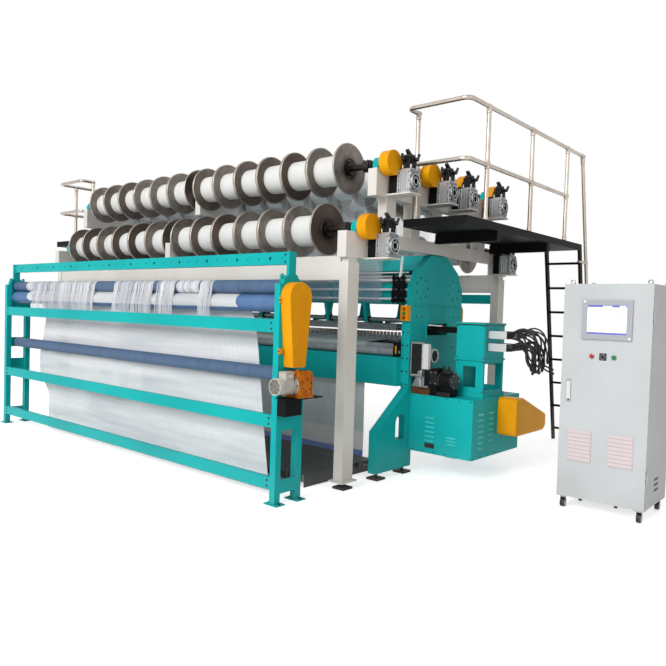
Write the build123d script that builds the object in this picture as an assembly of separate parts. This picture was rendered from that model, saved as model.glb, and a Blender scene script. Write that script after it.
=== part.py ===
from build123d import *
import os
from math import acos, atan2, cos, degrees, hypot, pi, radians, sin, tan

# Warp knitting machine: a knitting bed between two end frames, a creel with six rows of section beams
# above it, a cloth take-up stand in front, service platforms at both ends and a control cabinet.
# Millimetres. X runs along the machine to the drive end, Y to the back, Z up from the floor.

# Fits
RUN_GAP = 0.08          # shaft in its bearing, on the radius
SLIDE_GAP = 0.5         # a sliding piece and its guide
SOFT_GAP = 0.7          # cloth or yarn and its neighbour
PACK_GAP = 0.3          # yarn package on its spool
CUT_PAST = 10           # cuts run this far past a face

# Section beams and their rows
SPOOL_W = 355.6
SPOOLS = 6
GROUP_GAP = 150
FLANGE_D = 490
FLANGE_T = 13
CORE_D = 130
YARN_D = 290
SHAFT_D = 60
HUB_D = 130
HUB_L = 34
END_ROOM = 310          # last flange to the end frame
TAIL = 60               # shaft past the far bearing
LOWER_Y = 1315
LOWER_Z = 2350
OUTER_Y = 1025
INNER_Y = 340
UPPER_Z = 2965

# End frames of the knitting machine
END_T = 100
LEG_T = 90
LEG_FRONT = 1000
LEG_BACK = 418
LEG_FOOT_Z = 62
LEG_SHOULDER_Z = 460
LEG_TOP = 850
SLOT_Y = 605
SLOT_W = 180
SLOT_LOW = 350
SLOT_HIGH = 600
COLUMN_Y = 490
APRON_Z = 640
HEAD_Z = 1670
HEAD_T = 60
HEAD_SHOULDER_Z = 1850
HEAD_BEND_Y = 385
HEAD_BEND_Z = 2035
HEAD_TOP_Y = 150
HEAD_TOP = 2195
HEAD_HOLES = 7
HEAD_HOLE_D = 24
HEAD_RING_Y = 310
HEAD_RING_Z = 1850
HEAD_RING_R = 105
STRIP_T = 14            # raised strip up the column's front edge
WINDOW_Y = 200
WINDOW_LOW = 1370
WINDOW_HIGH = 1495

# Long beams of the knitting machine
BED_Y = 575
BED_T = 80
BED_LOW = 860
BED_HIGH = 1150
TIE_Y = 380
TIE_T = 80
TIE_LOW = 1690
TIE_HIGH = 1900
HOOD_T = 10

# Knitting bed, rods and hangers
NEEDLE_BED_Y = 300
NEEDLE_BED_IN = 60
NEEDLE_BED_LOW = 1180
NEEDLE_BED_HIGH = 1285
COMB_T = 34
COMB_HIGH = 1340
COMB_TEETH = 60
COMB_DEPTH = 18
ROCKER_D = 36
ROCKER_Z = 1516
ROCKER_HUB_R = 36
HANGER_T = 40
HANGERS = 8
ARM_IN = 45
ARM_LOW = 1472
ARM_HIGH = 1500
ROD_D = 24
ROD_Y = 430
ROD_ZS = (1735, 1830, 1925)

# Guide bars and needle bars
BAR_ROOM = 318.6        # bar end to the end frame
BAR_T = 22
BAR_YS = (60, 95, 130)
BAR_LOW = 1400
PUSH_D = 16
PUSH_Z = 1435
SHOG = 15
NEEDLE_T = 30
NEEDLE_LOW = 1255
NEEDLE_HIGH = 1340
NEEDLE_TIP = 1380
NEEDLE_TEETH = 90
LATCH_T = 5
LIFT = 8

# Take-down rollers of the machine
DOWN_D = 80
DOWN_Y = 450
DOWN_Z = 1240
DOWN_STEP = 40
JOURNAL_D = 30
DOWN_BLOCK_T = 45
DOWN_BLOCK_HIGH = 1295
DOWN_BLOCK_IN = 400

# Drive end
BOX_L = 700
BOX_FRONT = -455
BOX_BACK = 525
BOX_LOW = 225
BOX_HIGH = 795
LOUVRE_W = 108
LOUVRE_H = 16
LOUVRE_D = 12
FRONT_STEP = 45
SHORT_STEP = 30
SIDE_STEP = 54
FRONT_LOUVRES = 6
SHORT_LOUVRES = 3
SIDE_LOUVRES = 7
LOUVRE_IN_SHARE = 0.343
LOUVRE_TOP_SHARE = 0.4
LOUVRE_MID_SHARE = 0.688
LOUVRE_LOW_SHARE = 0.307
SIDE_TOP_SHARE = 0.27
SIDE_Y_SHARES = (0.161, 0.374)
BLACK_Z_SHARE = 0.137
BLACK_W = 110
BLACK_H = 45
BLACK_T = 4
GUARD_T = 200
GUARD_FRONT = 50
GUARD_LOW = 415
GUARD_L = 715
GUARD_H = 375
GUARD_FLAT_SHARE = 0.231
GUARD_HEEL_SHARE = 0.909
GUARD_TIP_SHARES = (0.099, 0.453)
GUARD_CORNER = 48
GUARD_ROUND = 25
PATTERN_OUT = 38        # pattern stand in from the outer face of the drive box
PATTERN_W = 302
PATTERN_Y = 210
PATTERN_BASE_T = 30
PATTERN_WALL = 14
PATTERN_SEAT = 1160
PATTERN_HIGH = 1520
LID_T = 14
LID_OUT = 12
STAND_WINDOW_W = 140
STAND_WINDOW_H = 206
SIDE_WINDOW_W = 360
SIDE_WINDOW_H = 262
ACTUATOR = 74
ACTUATOR_L = 195
ACTUATOR_Y = 105
ACTUATOR_ZS = (1290, 1410)

# Take-down drive on the drive box
PANEL_W = 139
PANEL_T = 45
PANEL_OUT = 40          # panel in front of the drive box
PANEL_LOW = 985
PANEL_HIGH = 1305
PANEL_IN = 12
PANEL_RIM = 10
PANEL_SINK = 4
PROFILE_W = 66
PROFILE_LOW = 1050
PROFILE_HIGH = 1297
REEL_D = 140
REEL_T = 40
REEL_RIM = 14
REEL_SINK = 6
REEL_Y = -330
REEL_Z = 1176
SERVO_W = 85
SERVO_D = 150
SERVO_HIGH = 1060
SERVO_R = 78
SERVO_L = 155
SERVO_Z = 945
SERVO_FOOT_W = 90
PLINTH_HIGH = 870

# Button station
STATION_W = 95
STATION_D = 40
STATION_LOW = 1515
STATION_HIGH = 1668
BUTTON_R = 15
BUTTON_L = 16
BUTTON_SINK = 8
PRESS = 4
COLLAR_R = 20
COLLAR_T = 4
STATION_BUTTON_ZS = (1545, 1589)
STATION_LAMP_Z = 1634
STATION_LAMP_R = 13
STATION_LAMP_L = 12

# Creel
POST_D = 150
POST_BACK = 1345
POST_TOP = 2030
POST_FOOT_Z = 80
FOOT_PLATE_T = 14
FOOT_PLATE_OUT = 30
CAP_LOW = 2070
CAP_IN = 1245
CAP_OUT = 1535
JOINT_IN = 12
LONG_IN = 1385
LONG_T = 100
LONG_H = 215
SEAT_H = 215            # long beam up to the seat of the lower bearings
REAR_GAP = 25
REAR_H = 110
CENTRE_T = 90
CROSS_LOW = 2205
CROSS_HIGH = 2330
UPRIGHT_YS = (470, 890)
UPRIGHT_W = 150
TOP_LOW = 2665
TOP_Y = 1130
BLOCK_DROP = 50
BLOCK_W = 130
BLOCK_T = 64

# Let-off drives
LET_GAP = 22
LET_T = 100
LET_WALL = 4
LET_BIG_R = 114
LET_SMALL_R = 55
LET_SMALL_Y = 115
LET_SMALL_Z = 30
LET_SKIRT_Z = 150
LET_CASE_Z = 270
PULLEY_D = 200
PULLEY_T = 40
GEAR_L = 150
GEAR_Y = 130
GEAR_W = 170
GEAR_HIGH = 60
GEAR_FACE_R = 72
GEAR_FACE_T = 16
GEAR_BORE_R = 26
GEAR_PLATE_T = 14
SHELF_T = 14
MOTOR_W = 92
MOTOR_H = 118
PLUG_R = 15
PLUG_L = 46

# Platforms, handrails and ladder
DECK_GAP = 22
DECK_W = 680
DECK_HIGH = 2490
DECK_T = 75
RIGHT_DECK_FRONT = -715
RIGHT_DECK_BACK = 2025
LEFT_DECK_Y = 1165
DECK_ARM_W = 60
DECK_ARM_LOW = 2316
RIGHT_ARM_YS = (-75, 1105)
LEFT_ARM_YS = (-640, 0, 640)
DECK_NOTCH_Y = 165       # narrower deck beside the guard of the rear lower row
TUBE_D = 42
TUBE_BEND = 70
RIGHT_RAIL_IN = 10      # handrail axis in from the deck's edge
LEFT_RAIL_IN = 25
RIGHT_RAIL_Z = 3540
RIGHT_MID_Z = 3000
LEFT_RAIL_Z = 3340
LEFT_MID_Z = 2910
RAIL_HOOK_L = 175
RIGHT_POST_YS = (-345, 617, 1560)
LEFT_POST_YS = (-885, 0, 885)
LADDER_W = 440
STILE_W = 26
STILE_D = 62
LADDER_RUN = 470
RUNG_D = 30
RUNGS = 8
GRAB_Y = 2400
GRAB_LOW = 1660
GRAB_ZS = (1720, 2280)

# Take-up stand
STAND_HALF = 2535
STAND_FRONT = -2240
STAND_D = 305
POST = 62
STAND_POST_HIGH = 1800
STAND_FOOT_W = 150
STAND_FOOT_D = 105
STAND_FOOT_T = 10
ANCHOR_D = 14
ANCHOR_STEP = 110
SIDE_T = 20
SIDE_LOW = (90, 200)
SIDE_MID = (606, 840)
SIDE_TOP_LOW = 1490
SIDE_TOP_T = 30
HORN_BASE_W = 190
HORN_W = 80
HORN_BASE_HIGH = 1875
RAIL_D = 40
RAIL_ZS = ((122, 224), (630, 734), (1405, 1512))
TOP_RAIL_Z = (1960, 2064)
TOP_RAIL_D = 52
TOP_HOLES = 12
TOP_HOLE_D = 30
SMALL_HOLE_D = 13
HOLE_DEPTH = 20
ROLLER_Y = -2105
TAKE_UP_D = 150
TAKE_UP_Z = 1640
PRESS_D = 120
NIP_GAP = 5
GUIDE_D = 120
GUIDE_Z = 1055
ROLLER_END = 8
ROLLER_SHAFT_D = 40
SHAFT_OUT = 14
CHAIN_T = 108
CHAIN_WALL = 4
CHAIN_R = 127
CHAIN_Z = 1690
CHAIN_LOW = 1128
CHAIN_LOW_W = 140
SPROCKET_D = 120
SPROCKET_T = 14
SPROCKET_OUT = 55
SHELF_X = 170
SHELF_FRONT = -2262
SHELF_BACK = -1880
SHELF_HIGH = 885
SHELF_PLATE_T = 10
SHELF_RIB_X = 95
SHELF_RIB_BACK = -2050
SHELF_RIB_LOW = 735
GEAR_UNIT_X = 140
GEAR_UNIT_FRONT = -2160
GEAR_UNIT_L = 165
GEAR_UNIT_HIGH = 1085
GEAR_UNIT_ROUND = 22
TAKE_MOTOR_R = 62
TAKE_MOTOR_L = 200
TAKE_FAN_L = 55
TAKE_FAN_R = 67
TAKE_MOTOR_Z = 985
TERMINAL_W = 80
TERMINAL_L = 90
TERMINAL_H = 46

# Cloth and warp sheets
CLOTH_T = 2
CLOTH_HALF = 2060
CLOTH_FLOOR_Z = 30
CLOTH_START_Z = 1303
WRAP_TURN = 210
STRIPS = ((-1890, 345), (-1520, 350), (-1160, 370), (-775, 330), (-45, 330), (310, 350), (735, 290), (1415, 180))
STRIP_LOW = 1450
STRIP_BULGE = 1645
STRIP_BACK_TURN = 25
SHEET_T = 1.2
SHEET_LOW = 1700
SHEET_BACK_Y = 403
SHEET_END = 8

# Floor plate
TREAD_GAP = 208.6       # end of the plate to the legs
TREAD_FRONT = -1660
TREAD_BACK = -640
TREAD_HIGH = 110
TREAD_T = 6
TREAD_SKIRT_LOW = 46
HOOK_W = 40             # bar that ties the plate to the leg
HOOK_IN = 120

# Levelling feet
PAD = 130
PAD_T = 20
SCREW_D = 30
LEG_FEET_YS = (930, 500)

# Control cabinet
CABINET_X = 4160
CABINET_W = 700
CABINET_FRONT = -505
CABINET_D = 600
CABINET_LOW = 105
CABINET_HIGH = 1880
CABINET_WALL = 20
DOOR_T = 20
DOOR_GAP = 1
HINGE_R = 7
PIN_R = 4
HINGE_L = 90
HINGE_Z_SHARES = (0.15, 0.85)
LEAF_T = 3
LEAF_L = 40
PANEL_X_SHARE = 0.51
HMI_W = 395
HMI_H = 320
HMI_T = 18
HMI_Z = 1590
SCREEN_W = 310
SCREEN_H = 240
SCREEN_DEEP = 5
CONTROL_Z = 1290
CONTROL_X_SHARES = (0.355, 0.48, 0.605)
HANDLE_X_SHARE = 0.1
HANDLE_Z = 1055
HANDLE_W = 30
HANDLE_L = 130
HANDLE_T = 12
PIVOT_R = 7
VENT_X_SHARES = (0.105, 0.575)
VENT_W = 200
VENT_Z = (412, 670)
VENT_T = 7
VENT_SLATS = 8
SIDE_SLOTS = 3
SIDE_SLOT_L = 130
SIDE_SLOT_H = 22
EYE_R = 17
EYE_T = 5
EYE_IN = 45
GEAR_PLATE_IN = 40
GEAR_ROWS = 4
CASTER_R = 40
CASTER_W = 28
CASTER_IN = 45
CASTER_PLATE = 80
CASTER_PLATE_T = 8
CHEEK_T = 4
CHEEK_W = 30

# Cables of the linear actuators: exits on the actuator ends, then points that follow each other
CABLE_R = 7
CABLE_PLUG_R = 12
CABLE_PLUG_L = 52
CABLE_ENDS = (
    (-120, 1425, ((70, 0), (150, 40), (250, 20), (305, -70), (325, -160), (330, -230))),
    (-95, 1400, ((60, 0), (130, 30), (200, -20), (235, -110), (245, -200))),
    (-115, 1300, ((60, 0), (130, 5), (195, -50), (212, -115), (232, -165))),
    (90, 1425, ((70, 0), (160, 25), (255, -30), (300, -130), (310, -220))),
    (120, 1290, ((60, 0), (140, 10), (200, -45), (216, -110), (236, -155))),
)
BEND_SHARE = 0.9

# Places worked out from the sizes above
END_IN = GROUP_GAP / 2 + SPOOLS * SPOOL_W + END_ROOM
END_OUT = END_IN + END_T
BEAM_HALF = END_IN - END_ROOM
BAR_HALF = END_IN - BAR_ROOM
LONG_HIGH = LOWER_Z - BLOCK_DROP - SEAT_H
LONG_LOW = LONG_HIGH - LONG_H
ROWS = ((-LOWER_Y, LOWER_Z), (-OUTER_Y, UPPER_Z), (-INNER_Y, UPPER_Z),
        (INNER_Y, UPPER_Z), (OUTER_Y, UPPER_Z), (LOWER_Y, LOWER_Z))
LET_X = END_OUT + LET_GAP
GEAR_X = LET_X + LET_T
BOX_OUT = END_OUT + BOX_L
STAND_X = BOX_OUT - PATTERN_OUT - PATTERN_W
TREAD_HALF = END_OUT - LEG_T - TREAD_GAP
STAND_OUT = STAND_X + PATTERN_W
DECK_IN = END_OUT + DECK_GAP
DECK_OUT = DECK_IN + DECK_W
PRESS_Z = TAKE_UP_Z + TAKE_UP_D / 2 + NIP_GAP + PRESS_D / 2
STAND_BACK = STAND_FRONT + STAND_D
CLOTH_OFF = SOFT_GAP + CLOTH_T
DOWN_CLOTH = -DOWN_Y - DOWN_D / 2 - CLOTH_OFF
DOWN_FRONT_Y = DOWN_CLOTH - SOFT_GAP - DOWN_D / 2
DOWN_FRONT_Z = DOWN_Z - DOWN_STEP
WEB_Y = ROLLER_Y + TAKE_UP_D / 2 + SOFT_GAP
GUIDE_Y = WEB_Y - SOFT_GAP - GUIDE_D / 2
CABINET_OUT = CABINET_X + CABINET_W
DOOR_BACK = CABINET_FRONT + DOOR_T
CABINET_BACK = CABINET_FRONT + CABINET_D
HINGE_X = CABINET_OUT + HINGE_R + DOOR_GAP
HINGE_Y = CABINET_FRONT + HINGE_R
HANDLE_X = CABINET_X + HANDLE_X_SHARE * CABINET_W
CONTROL_XS = [CABINET_X + share * CABINET_W for share in CONTROL_X_SHARES]
STATION_FRONT = -COLUMN_Y - STRIP_T - STATION_D
STATION_X = END_OUT - STATION_W / 2
LADDER_FOOT = RIGHT_DECK_BACK + LADDER_RUN

# The shared frame has its origin on the floor below the middle of the overall outline
ORIGIN_X = (HINGE_X + HINGE_R - DECK_OUT) / 2
ORIGIN_Y = (LADDER_FOOT + STILE_D + GEAR_UNIT_FRONT - TAKE_MOTOR_L) / 2


def slab(x, y, z):
    """Box between a low and a high end on each axis."""
    size = [high - low for low, high in (x, y, z)]
    middle = [(high + low) / 2 for low, high in (x, y, z)]
    return Pos(*middle) * Box(*size)


def bar_x(x, y, z, radius):
    return Pos((x[0] + x[1]) / 2, y, z) * Rot(0, 90, 0) * Cylinder(radius, x[1] - x[0])


def bar_y(x, y, z, radius):
    return Pos(x, (y[0] + y[1]) / 2, z) * Rot(90, 0, 0) * Cylinder(radius, y[1] - y[0])


def bar_z(x, y, z, radius):
    return Pos(x, y, (z[0] + z[1]) / 2) * Cylinder(radius, z[1] - z[0])


def flat(points):
    return make_face(Polyline(*points, close=True))


def plate_x(x, shape):
    """Outline drawn in (y, z), with thickness from x[0] to x[1]."""
    return extrude(Plane.YZ.offset(x[0]) * shape, amount=x[1] - x[0])


def plate_y(y, shape):
    """Outline drawn in (x, z), with thickness from y[0] to y[1]."""
    return extrude(Plane.XZ.offset(-y[0]) * shape, amount=y[0] - y[1])


def about(middle, size):
    return (middle - size / 2, middle + size / 2)


def ends(shapes):
    """Shapes of the drive end with their mirror images at the far end."""
    return list(shapes) + [mirror(shape, about=Plane.YZ) for shape in shapes]


def sides(shapes):
    """Shapes of the front with their mirror images at the back."""
    return list(shapes) + [mirror(shape, about=Plane.XZ) for shape in shapes]


def spread(count, low, high):
    """Middles of equal steps between two ends."""
    step = (high - low) / count
    return [low + step * (index + 1 / 2) for index in range(count)]


def ring_part(centre, inner, outer, start, turn):
    """Part of a flat ring, angles in degrees from +Y towards +Z."""
    def at(radius, angle):
        return (centre[0] + radius * cos(radians(angle)), centre[1] + radius * sin(radians(angle)))
    middle, stop = start + turn / 2, start + turn
    return Face(Wire([
        ThreePointArc(at(outer, start), at(outer, middle), at(outer, stop)),
        Line(at(outer, stop), at(inner, stop)),
        ThreePointArc(at(inner, stop), at(inner, middle), at(inner, start)),
        Line(at(inner, start), at(outer, start)),
    ]))


def drop(big, big_r, small, small_r):
    """Two discs with their outer tangents: the outline of a belt or chain guard."""
    heading = atan2(small[1] - big[1], small[0] - big[0])
    open_by = acos((big_r - small_r) / hypot(small[0] - big[0], small[1] - big[1]))

    def at(disc, radius, angle):
        return (disc[0] + radius * cos(angle), disc[1] + radius * sin(angle))
    up, down = heading + open_by, heading - open_by
    return Face(Wire([
        ThreePointArc(at(big, big_r, up), at(big, big_r, heading + pi), at(big, big_r, down)),
        Line(at(big, big_r, down), at(small, small_r, down)),
        ThreePointArc(at(small, small_r, down), at(small, small_r, heading), at(small, small_r, up)),
        Line(at(small, small_r, up), at(big, big_r, up)),
    ]))


def toothed(x, z, teeth, depth):
    """Outline in (x, z) of a strip whose upper edge is cut into teeth."""
    step = (x[1] - x[0]) / teeth
    points = [(x[0], z[0])]
    for index in range(teeth):
        left = x[0] + index * step
        points += [(left, z[1]), (left + step / 2, z[1]), (left + step / 2, z[1] - depth), (left + step, z[1] - depth)]
    return flat(points + [(x[1], z[0])])


def turned(steps):
    """Body of revolution about X from steps of (start, end, radius) that follow each other."""
    points = [(steps[0][0], 0)]
    for start, end, radius in steps:
        points += [(start, radius), (end, radius)]
    return revolve(flat(points + [(steps[-1][1], 0)]), Axis.X)


def warp_beam(y, z):
    """One row: a drive shaft with two groups of section-beam spools and its pulley."""
    shaft_r, core_r, rim_r = SHAFT_D / 2, CORE_D / 2, FLANGE_D / 2
    steps = [(-END_OUT - TAIL, -BEAM_HALF - HUB_L, shaft_r), (-BEAM_HALF - HUB_L, -BEAM_HALF, HUB_D / 2)]
    for start in (-BEAM_HALF, GROUP_GAP / 2):
        for index in range(SPOOLS):
            left = start + index * SPOOL_W
            right = left + SPOOL_W
            steps += [(left, left + FLANGE_T, rim_r), (left + FLANGE_T, right - FLANGE_T, core_r),
                      (right - FLANGE_T, right, rim_r)]
        if start < 0:
            steps.append((-GROUP_GAP / 2, GROUP_GAP / 2, shaft_r))
    pulley = LET_X + LET_T / 2 - PULLEY_T / 2
    steps += [(BEAM_HALF, BEAM_HALF + HUB_L, HUB_D / 2), (BEAM_HALF + HUB_L, pulley, shaft_r),
              (pulley, pulley + PULLEY_T, PULLEY_D / 2)]
    merged = [steps[0]]
    for start, end, radius in steps[1:]:
        if radius == merged[-1][2]:
            merged[-1] = (merged[-1][0], end, radius)
        else:
            merged.append((start, end, radius))
    return [Pos(0, y, z) * turned(merged)]


def spool_middles():
    return spread(SPOOLS, -BEAM_HALF, -GROUP_GAP / 2) + spread(SPOOLS, GROUP_GAP / 2, BEAM_HALF)


def warp_yarn(y, z):
    """The yarn packages wound on one row of spools."""
    wound = SPOOL_W - 2 * (FLANGE_T + PACK_GAP)
    package = Rot(0, 90, 0) * (Cylinder(YARN_D / 2, wound) - Cylinder(CORE_D / 2 + PACK_GAP, wound))
    return [Pos(x, y, z) * package for x in spool_middles()]


def bearing_blocks():
    """Pillow blocks under the beam shafts, and the roller blocks at the ends of the bed beam."""
    blocks = []
    for y, z in ROWS:
        body = Pos(y, z) * Circle(BLOCK_W / 2) + Pos(y, z - BLOCK_DROP / 2) * Rectangle(BLOCK_W, BLOCK_DROP)
        body -= Pos(y, z - BLOCK_DROP - BLOCK_W / 2) * Rectangle(2 * BLOCK_W, BLOCK_W)
        body -= Pos(y, z) * Circle(SHAFT_D / 2 + RUN_GAP)
        for x in (-(END_IN + END_OUT) / 2, 0, (END_IN + END_OUT) / 2):
            blocks.append(plate_x(about(x, BLOCK_T), body))
    rollers = slab((END_IN - DOWN_BLOCK_T, END_IN), (-BED_Y, -DOWN_BLOCK_IN), (BED_HIGH, DOWN_BLOCK_HIGH))
    bore_x = (END_IN - DOWN_BLOCK_T - CUT_PAST, END_IN + CUT_PAST)
    for y, z in ((-DOWN_Y, DOWN_Z), (DOWN_FRONT_Y, DOWN_FRONT_Z)):
        rollers -= bar_x(bore_x, y, z, JOURNAL_D / 2 + RUN_GAP)
    return blocks + ends([rollers])


def end_frames():
    """Both end frames: two legs, a column and the bolted head plate each."""
    leg = flat([(-LEG_FRONT, LEG_FOOT_Z), (-LEG_FRONT, LEG_SHOULDER_Z), (-COLUMN_Y, LEG_TOP),
                (-LEG_BACK, LEG_TOP), (-LEG_BACK, LEG_FOOT_Z)])
    slot_r = SLOT_W / 2
    leg -= Pos(-SLOT_Y, (SLOT_LOW + SLOT_HIGH - slot_r) / 2) * Rectangle(SLOT_W, SLOT_HIGH - slot_r - SLOT_LOW)
    leg -= Pos(-SLOT_Y, SLOT_HIGH - slot_r) * Circle(slot_r)
    legs = sides([plate_x((END_OUT - LEG_T, END_OUT), leg)])
    half = [(0, APRON_Z), (LEG_BACK, APRON_Z), (LEG_BACK, LEG_TOP), (COLUMN_Y, LEG_TOP), (COLUMN_Y, HEAD_Z)]
    column = flat(half + [(-y, z) for y, z in reversed(half[1:])])
    column -= Pos(0, (WINDOW_LOW + WINDOW_HIGH) / 2) * Rectangle(2 * WINDOW_Y, WINDOW_HIGH - WINDOW_LOW)
    column = plate_x((END_IN, END_OUT), column)
    strip = slab((END_IN, END_OUT), (-COLUMN_Y - STRIP_T, -COLUMN_Y), (LEG_TOP, HEAD_Z))
    half = [(COLUMN_Y, HEAD_Z), (COLUMN_Y, HEAD_SHOULDER_Z), (HEAD_BEND_Y, HEAD_BEND_Z), (HEAD_TOP_Y, HEAD_TOP)]
    head = flat(half + [(-y, z) for y, z in reversed(half)])
    for side in (-1, 1):
        for index in range(HEAD_HOLES):
            turn = 2 * pi * index / HEAD_HOLES
            spot = (side * HEAD_RING_Y + HEAD_RING_R * cos(turn), HEAD_RING_Z + HEAD_RING_R * sin(turn))
            head -= Pos(*spot) * Circle(HEAD_HOLE_D / 2)
    head = plate_x((END_OUT - HEAD_T, END_OUT), head)
    return ends(legs + sides([strip]) + [column, head])


def machine_beams():
    """Bed beams, tie beams at the head, the sloping hood over them and the rear tie of the creel."""
    bed = slab((-END_IN, END_IN), (-BED_Y, BED_T - BED_Y), (BED_LOW, BED_HIGH))
    tie = slab((-END_OUT + HEAD_T, END_OUT - HEAD_T), (-TIE_Y, TIE_T - TIE_Y), (TIE_LOW, TIE_HIGH))
    hood = flat([(-HEAD_BEND_Y, HEAD_BEND_Z), (-HEAD_TOP_Y, HEAD_TOP), (HEAD_TOP_Y, HEAD_TOP),
                 (HEAD_BEND_Y, HEAD_BEND_Z), (HEAD_BEND_Y, HEAD_BEND_Z - HOOD_T), (HEAD_TOP_Y, HEAD_TOP - HOOD_T),
                 (-HEAD_TOP_Y, HEAD_TOP - HOOD_T), (-HEAD_BEND_Y, HEAD_BEND_Z - HOOD_T)])
    hood = plate_x((-END_OUT + HEAD_T, END_OUT - HEAD_T), hood)
    high = LONG_LOW - REAR_GAP
    rear = slab((-END_IN, END_IN), (LONG_IN, LONG_IN + LONG_T), (high - REAR_H, high))
    return sides([bed, tie]) + [hood, rear]


def knitting_bed():
    """Needle beds with their comb plates, rocker shafts and the yarn rods."""
    bed = slab((-END_IN, END_IN), (-NEEDLE_BED_Y, -NEEDLE_BED_IN), (NEEDLE_BED_LOW, NEEDLE_BED_HIGH))
    comb = plate_y((-NEEDLE_BED_IN - COMB_T, -NEEDLE_BED_IN),
                   toothed((-BAR_HALF, BAR_HALF), (NEEDLE_BED_HIGH, COMB_HIGH), COMB_TEETH, COMB_DEPTH))
    rocker = bar_x((-END_IN, END_IN), TIE_T - TIE_Y, ROCKER_Z, ROCKER_D / 2)
    rods = [bar_x((-END_OUT + HEAD_T, END_OUT - HEAD_T), -ROD_Y, z, ROD_D / 2) for z in ROD_ZS]
    return sides([bed, comb, rocker] + rods)


def bar_hangers():
    """Arms that hang from the tie beams, hold the rocker shafts and carry the guide bars."""
    hub = (TIE_T - TIE_Y, ROCKER_Z)
    arm = flat([(-TIE_Y, TIE_LOW), (TIE_T - TIE_Y, TIE_LOW), (hub[0] + ROCKER_HUB_R, hub[1]),
                (-ARM_IN, ARM_HIGH), (-ARM_IN, ARM_LOW), (hub[0], hub[1] - ROCKER_HUB_R),
                (hub[0] - ROCKER_HUB_R, hub[1])])
    arm += Pos(*hub) * Circle(ROCKER_HUB_R)
    arm -= Pos(*hub) * Circle(ROCKER_D / 2 + RUN_GAP)
    return sides([plate_x(about(x, HANGER_T), arm) for x in spread(HANGERS, -BAR_HALF, BAR_HALF)])


def guide_bars(side):
    """Three guide bars of one side with the push rods that reach the pattern drive."""
    bars = []
    for y in BAR_YS:
        bars.append(slab((-BAR_HALF, BAR_HALF), about(side * y, BAR_T), (BAR_LOW, ARM_LOW - SLIDE_GAP)))
        bars.append(bar_x((BAR_HALF, STAND_X + PATTERN_WALL), side * y, PUSH_Z, PUSH_D / 2))
    return bars


def needle_bar(side):
    """A lifting bar with its row of needles."""
    inner = NEEDLE_BED_IN - SLIDE_GAP
    low, high = sorted((side * inner, side * (inner - NEEDLE_T)))
    bar = slab((-BAR_HALF, BAR_HALF), (low, high), (NEEDLE_LOW, NEEDLE_HIGH))
    row = about((low + high) / 2, LATCH_T)
    return [bar + plate_y(row, toothed((-BAR_HALF, BAR_HALF), (NEEDLE_HIGH, NEEDLE_TIP),
                                       NEEDLE_TEETH, NEEDLE_TIP - NEEDLE_HIGH - LATCH_T))]


def take_down_roller(y, z):
    """Roller that draws the cloth off the needle bed."""
    face = END_IN - DOWN_BLOCK_T - ROLLER_END
    roller = turned([(-END_IN, -face, JOURNAL_D / 2), (-face, face, DOWN_D / 2), (face, END_IN, JOURNAL_D / 2)])
    return [Pos(0, y, z) * roller]


def louvre(width):
    """Pressed louvre along X with its mouth down, standing out towards -Y."""
    lip = flat([(0, LOUVRE_H), (-LOUVRE_D, 0), (0, 0)])
    return plate_x((-width / 2, width / 2), lip)


def drive_box():
    """Closed main drive housing with louvres on two faces and a black cover plate."""
    body = slab((END_OUT, BOX_OUT), (BOX_FRONT, BOX_BACK), (BOX_LOW, BOX_HIGH))
    length, height = BOX_OUT - END_OUT, BOX_HIGH - BOX_LOW
    lips = []
    first = END_OUT + LOUVRE_IN_SHARE * length
    top = BOX_HIGH - LOUVRE_TOP_SHARE * height
    for index in range(FRONT_LOUVRES):
        lips.append(Pos(first, BOX_FRONT, top - index * FRONT_STEP) * louvre(LOUVRE_W))
    for index in range(SHORT_LOUVRES):
        spot = Pos(END_OUT + LOUVRE_MID_SHARE * length, BOX_FRONT, BOX_LOW + LOUVRE_LOW_SHARE * height)
        lips.append(spot * Pos(0, 0, -index * SHORT_STEP) * louvre(LOUVRE_W))
    side_top = BOX_HIGH - SIDE_TOP_SHARE * height
    for share in SIDE_Y_SHARES:
        y = BOX_FRONT + share * (BOX_BACK - BOX_FRONT)
        for index in range(SIDE_LOUVRES):
            lips.append(Pos(BOX_OUT, y, side_top - index * SIDE_STEP) * Rot(0, 0, 90) * louvre(LOUVRE_W))
    cover = slab(about(first, BLACK_W), (BOX_FRONT - BLACK_T, BOX_FRONT),
                 about(BOX_LOW + BLACK_Z_SHARE * height, BLACK_H))
    return [body.fuse(*lips, cover)]


def main_guard():
    """Belt guard on the drive box, large at the front pulley and small at the motor."""
    back = GUARD_FRONT + GUARD_L
    high = GUARD_LOW + GUARD_H
    tip_low, tip_high = (GUARD_LOW + share * GUARD_H for share in GUARD_TIP_SHARES)
    outline = flat([(GUARD_FRONT, GUARD_LOW), (GUARD_FRONT, high),
                    (GUARD_FRONT + GUARD_FLAT_SHARE * GUARD_L, high), (back, tip_high), (back, tip_low),
                    (GUARD_FRONT + GUARD_HEEL_SHARE * GUARD_L, GUARD_LOW)])
    shell = plate_x((BOX_OUT, BOX_OUT + GUARD_T), fillet(outline.vertices(), GUARD_CORNER))
    return [fillet(shell.faces().sort_by(Axis.X)[-1].edges(), GUARD_ROUND)]


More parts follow.
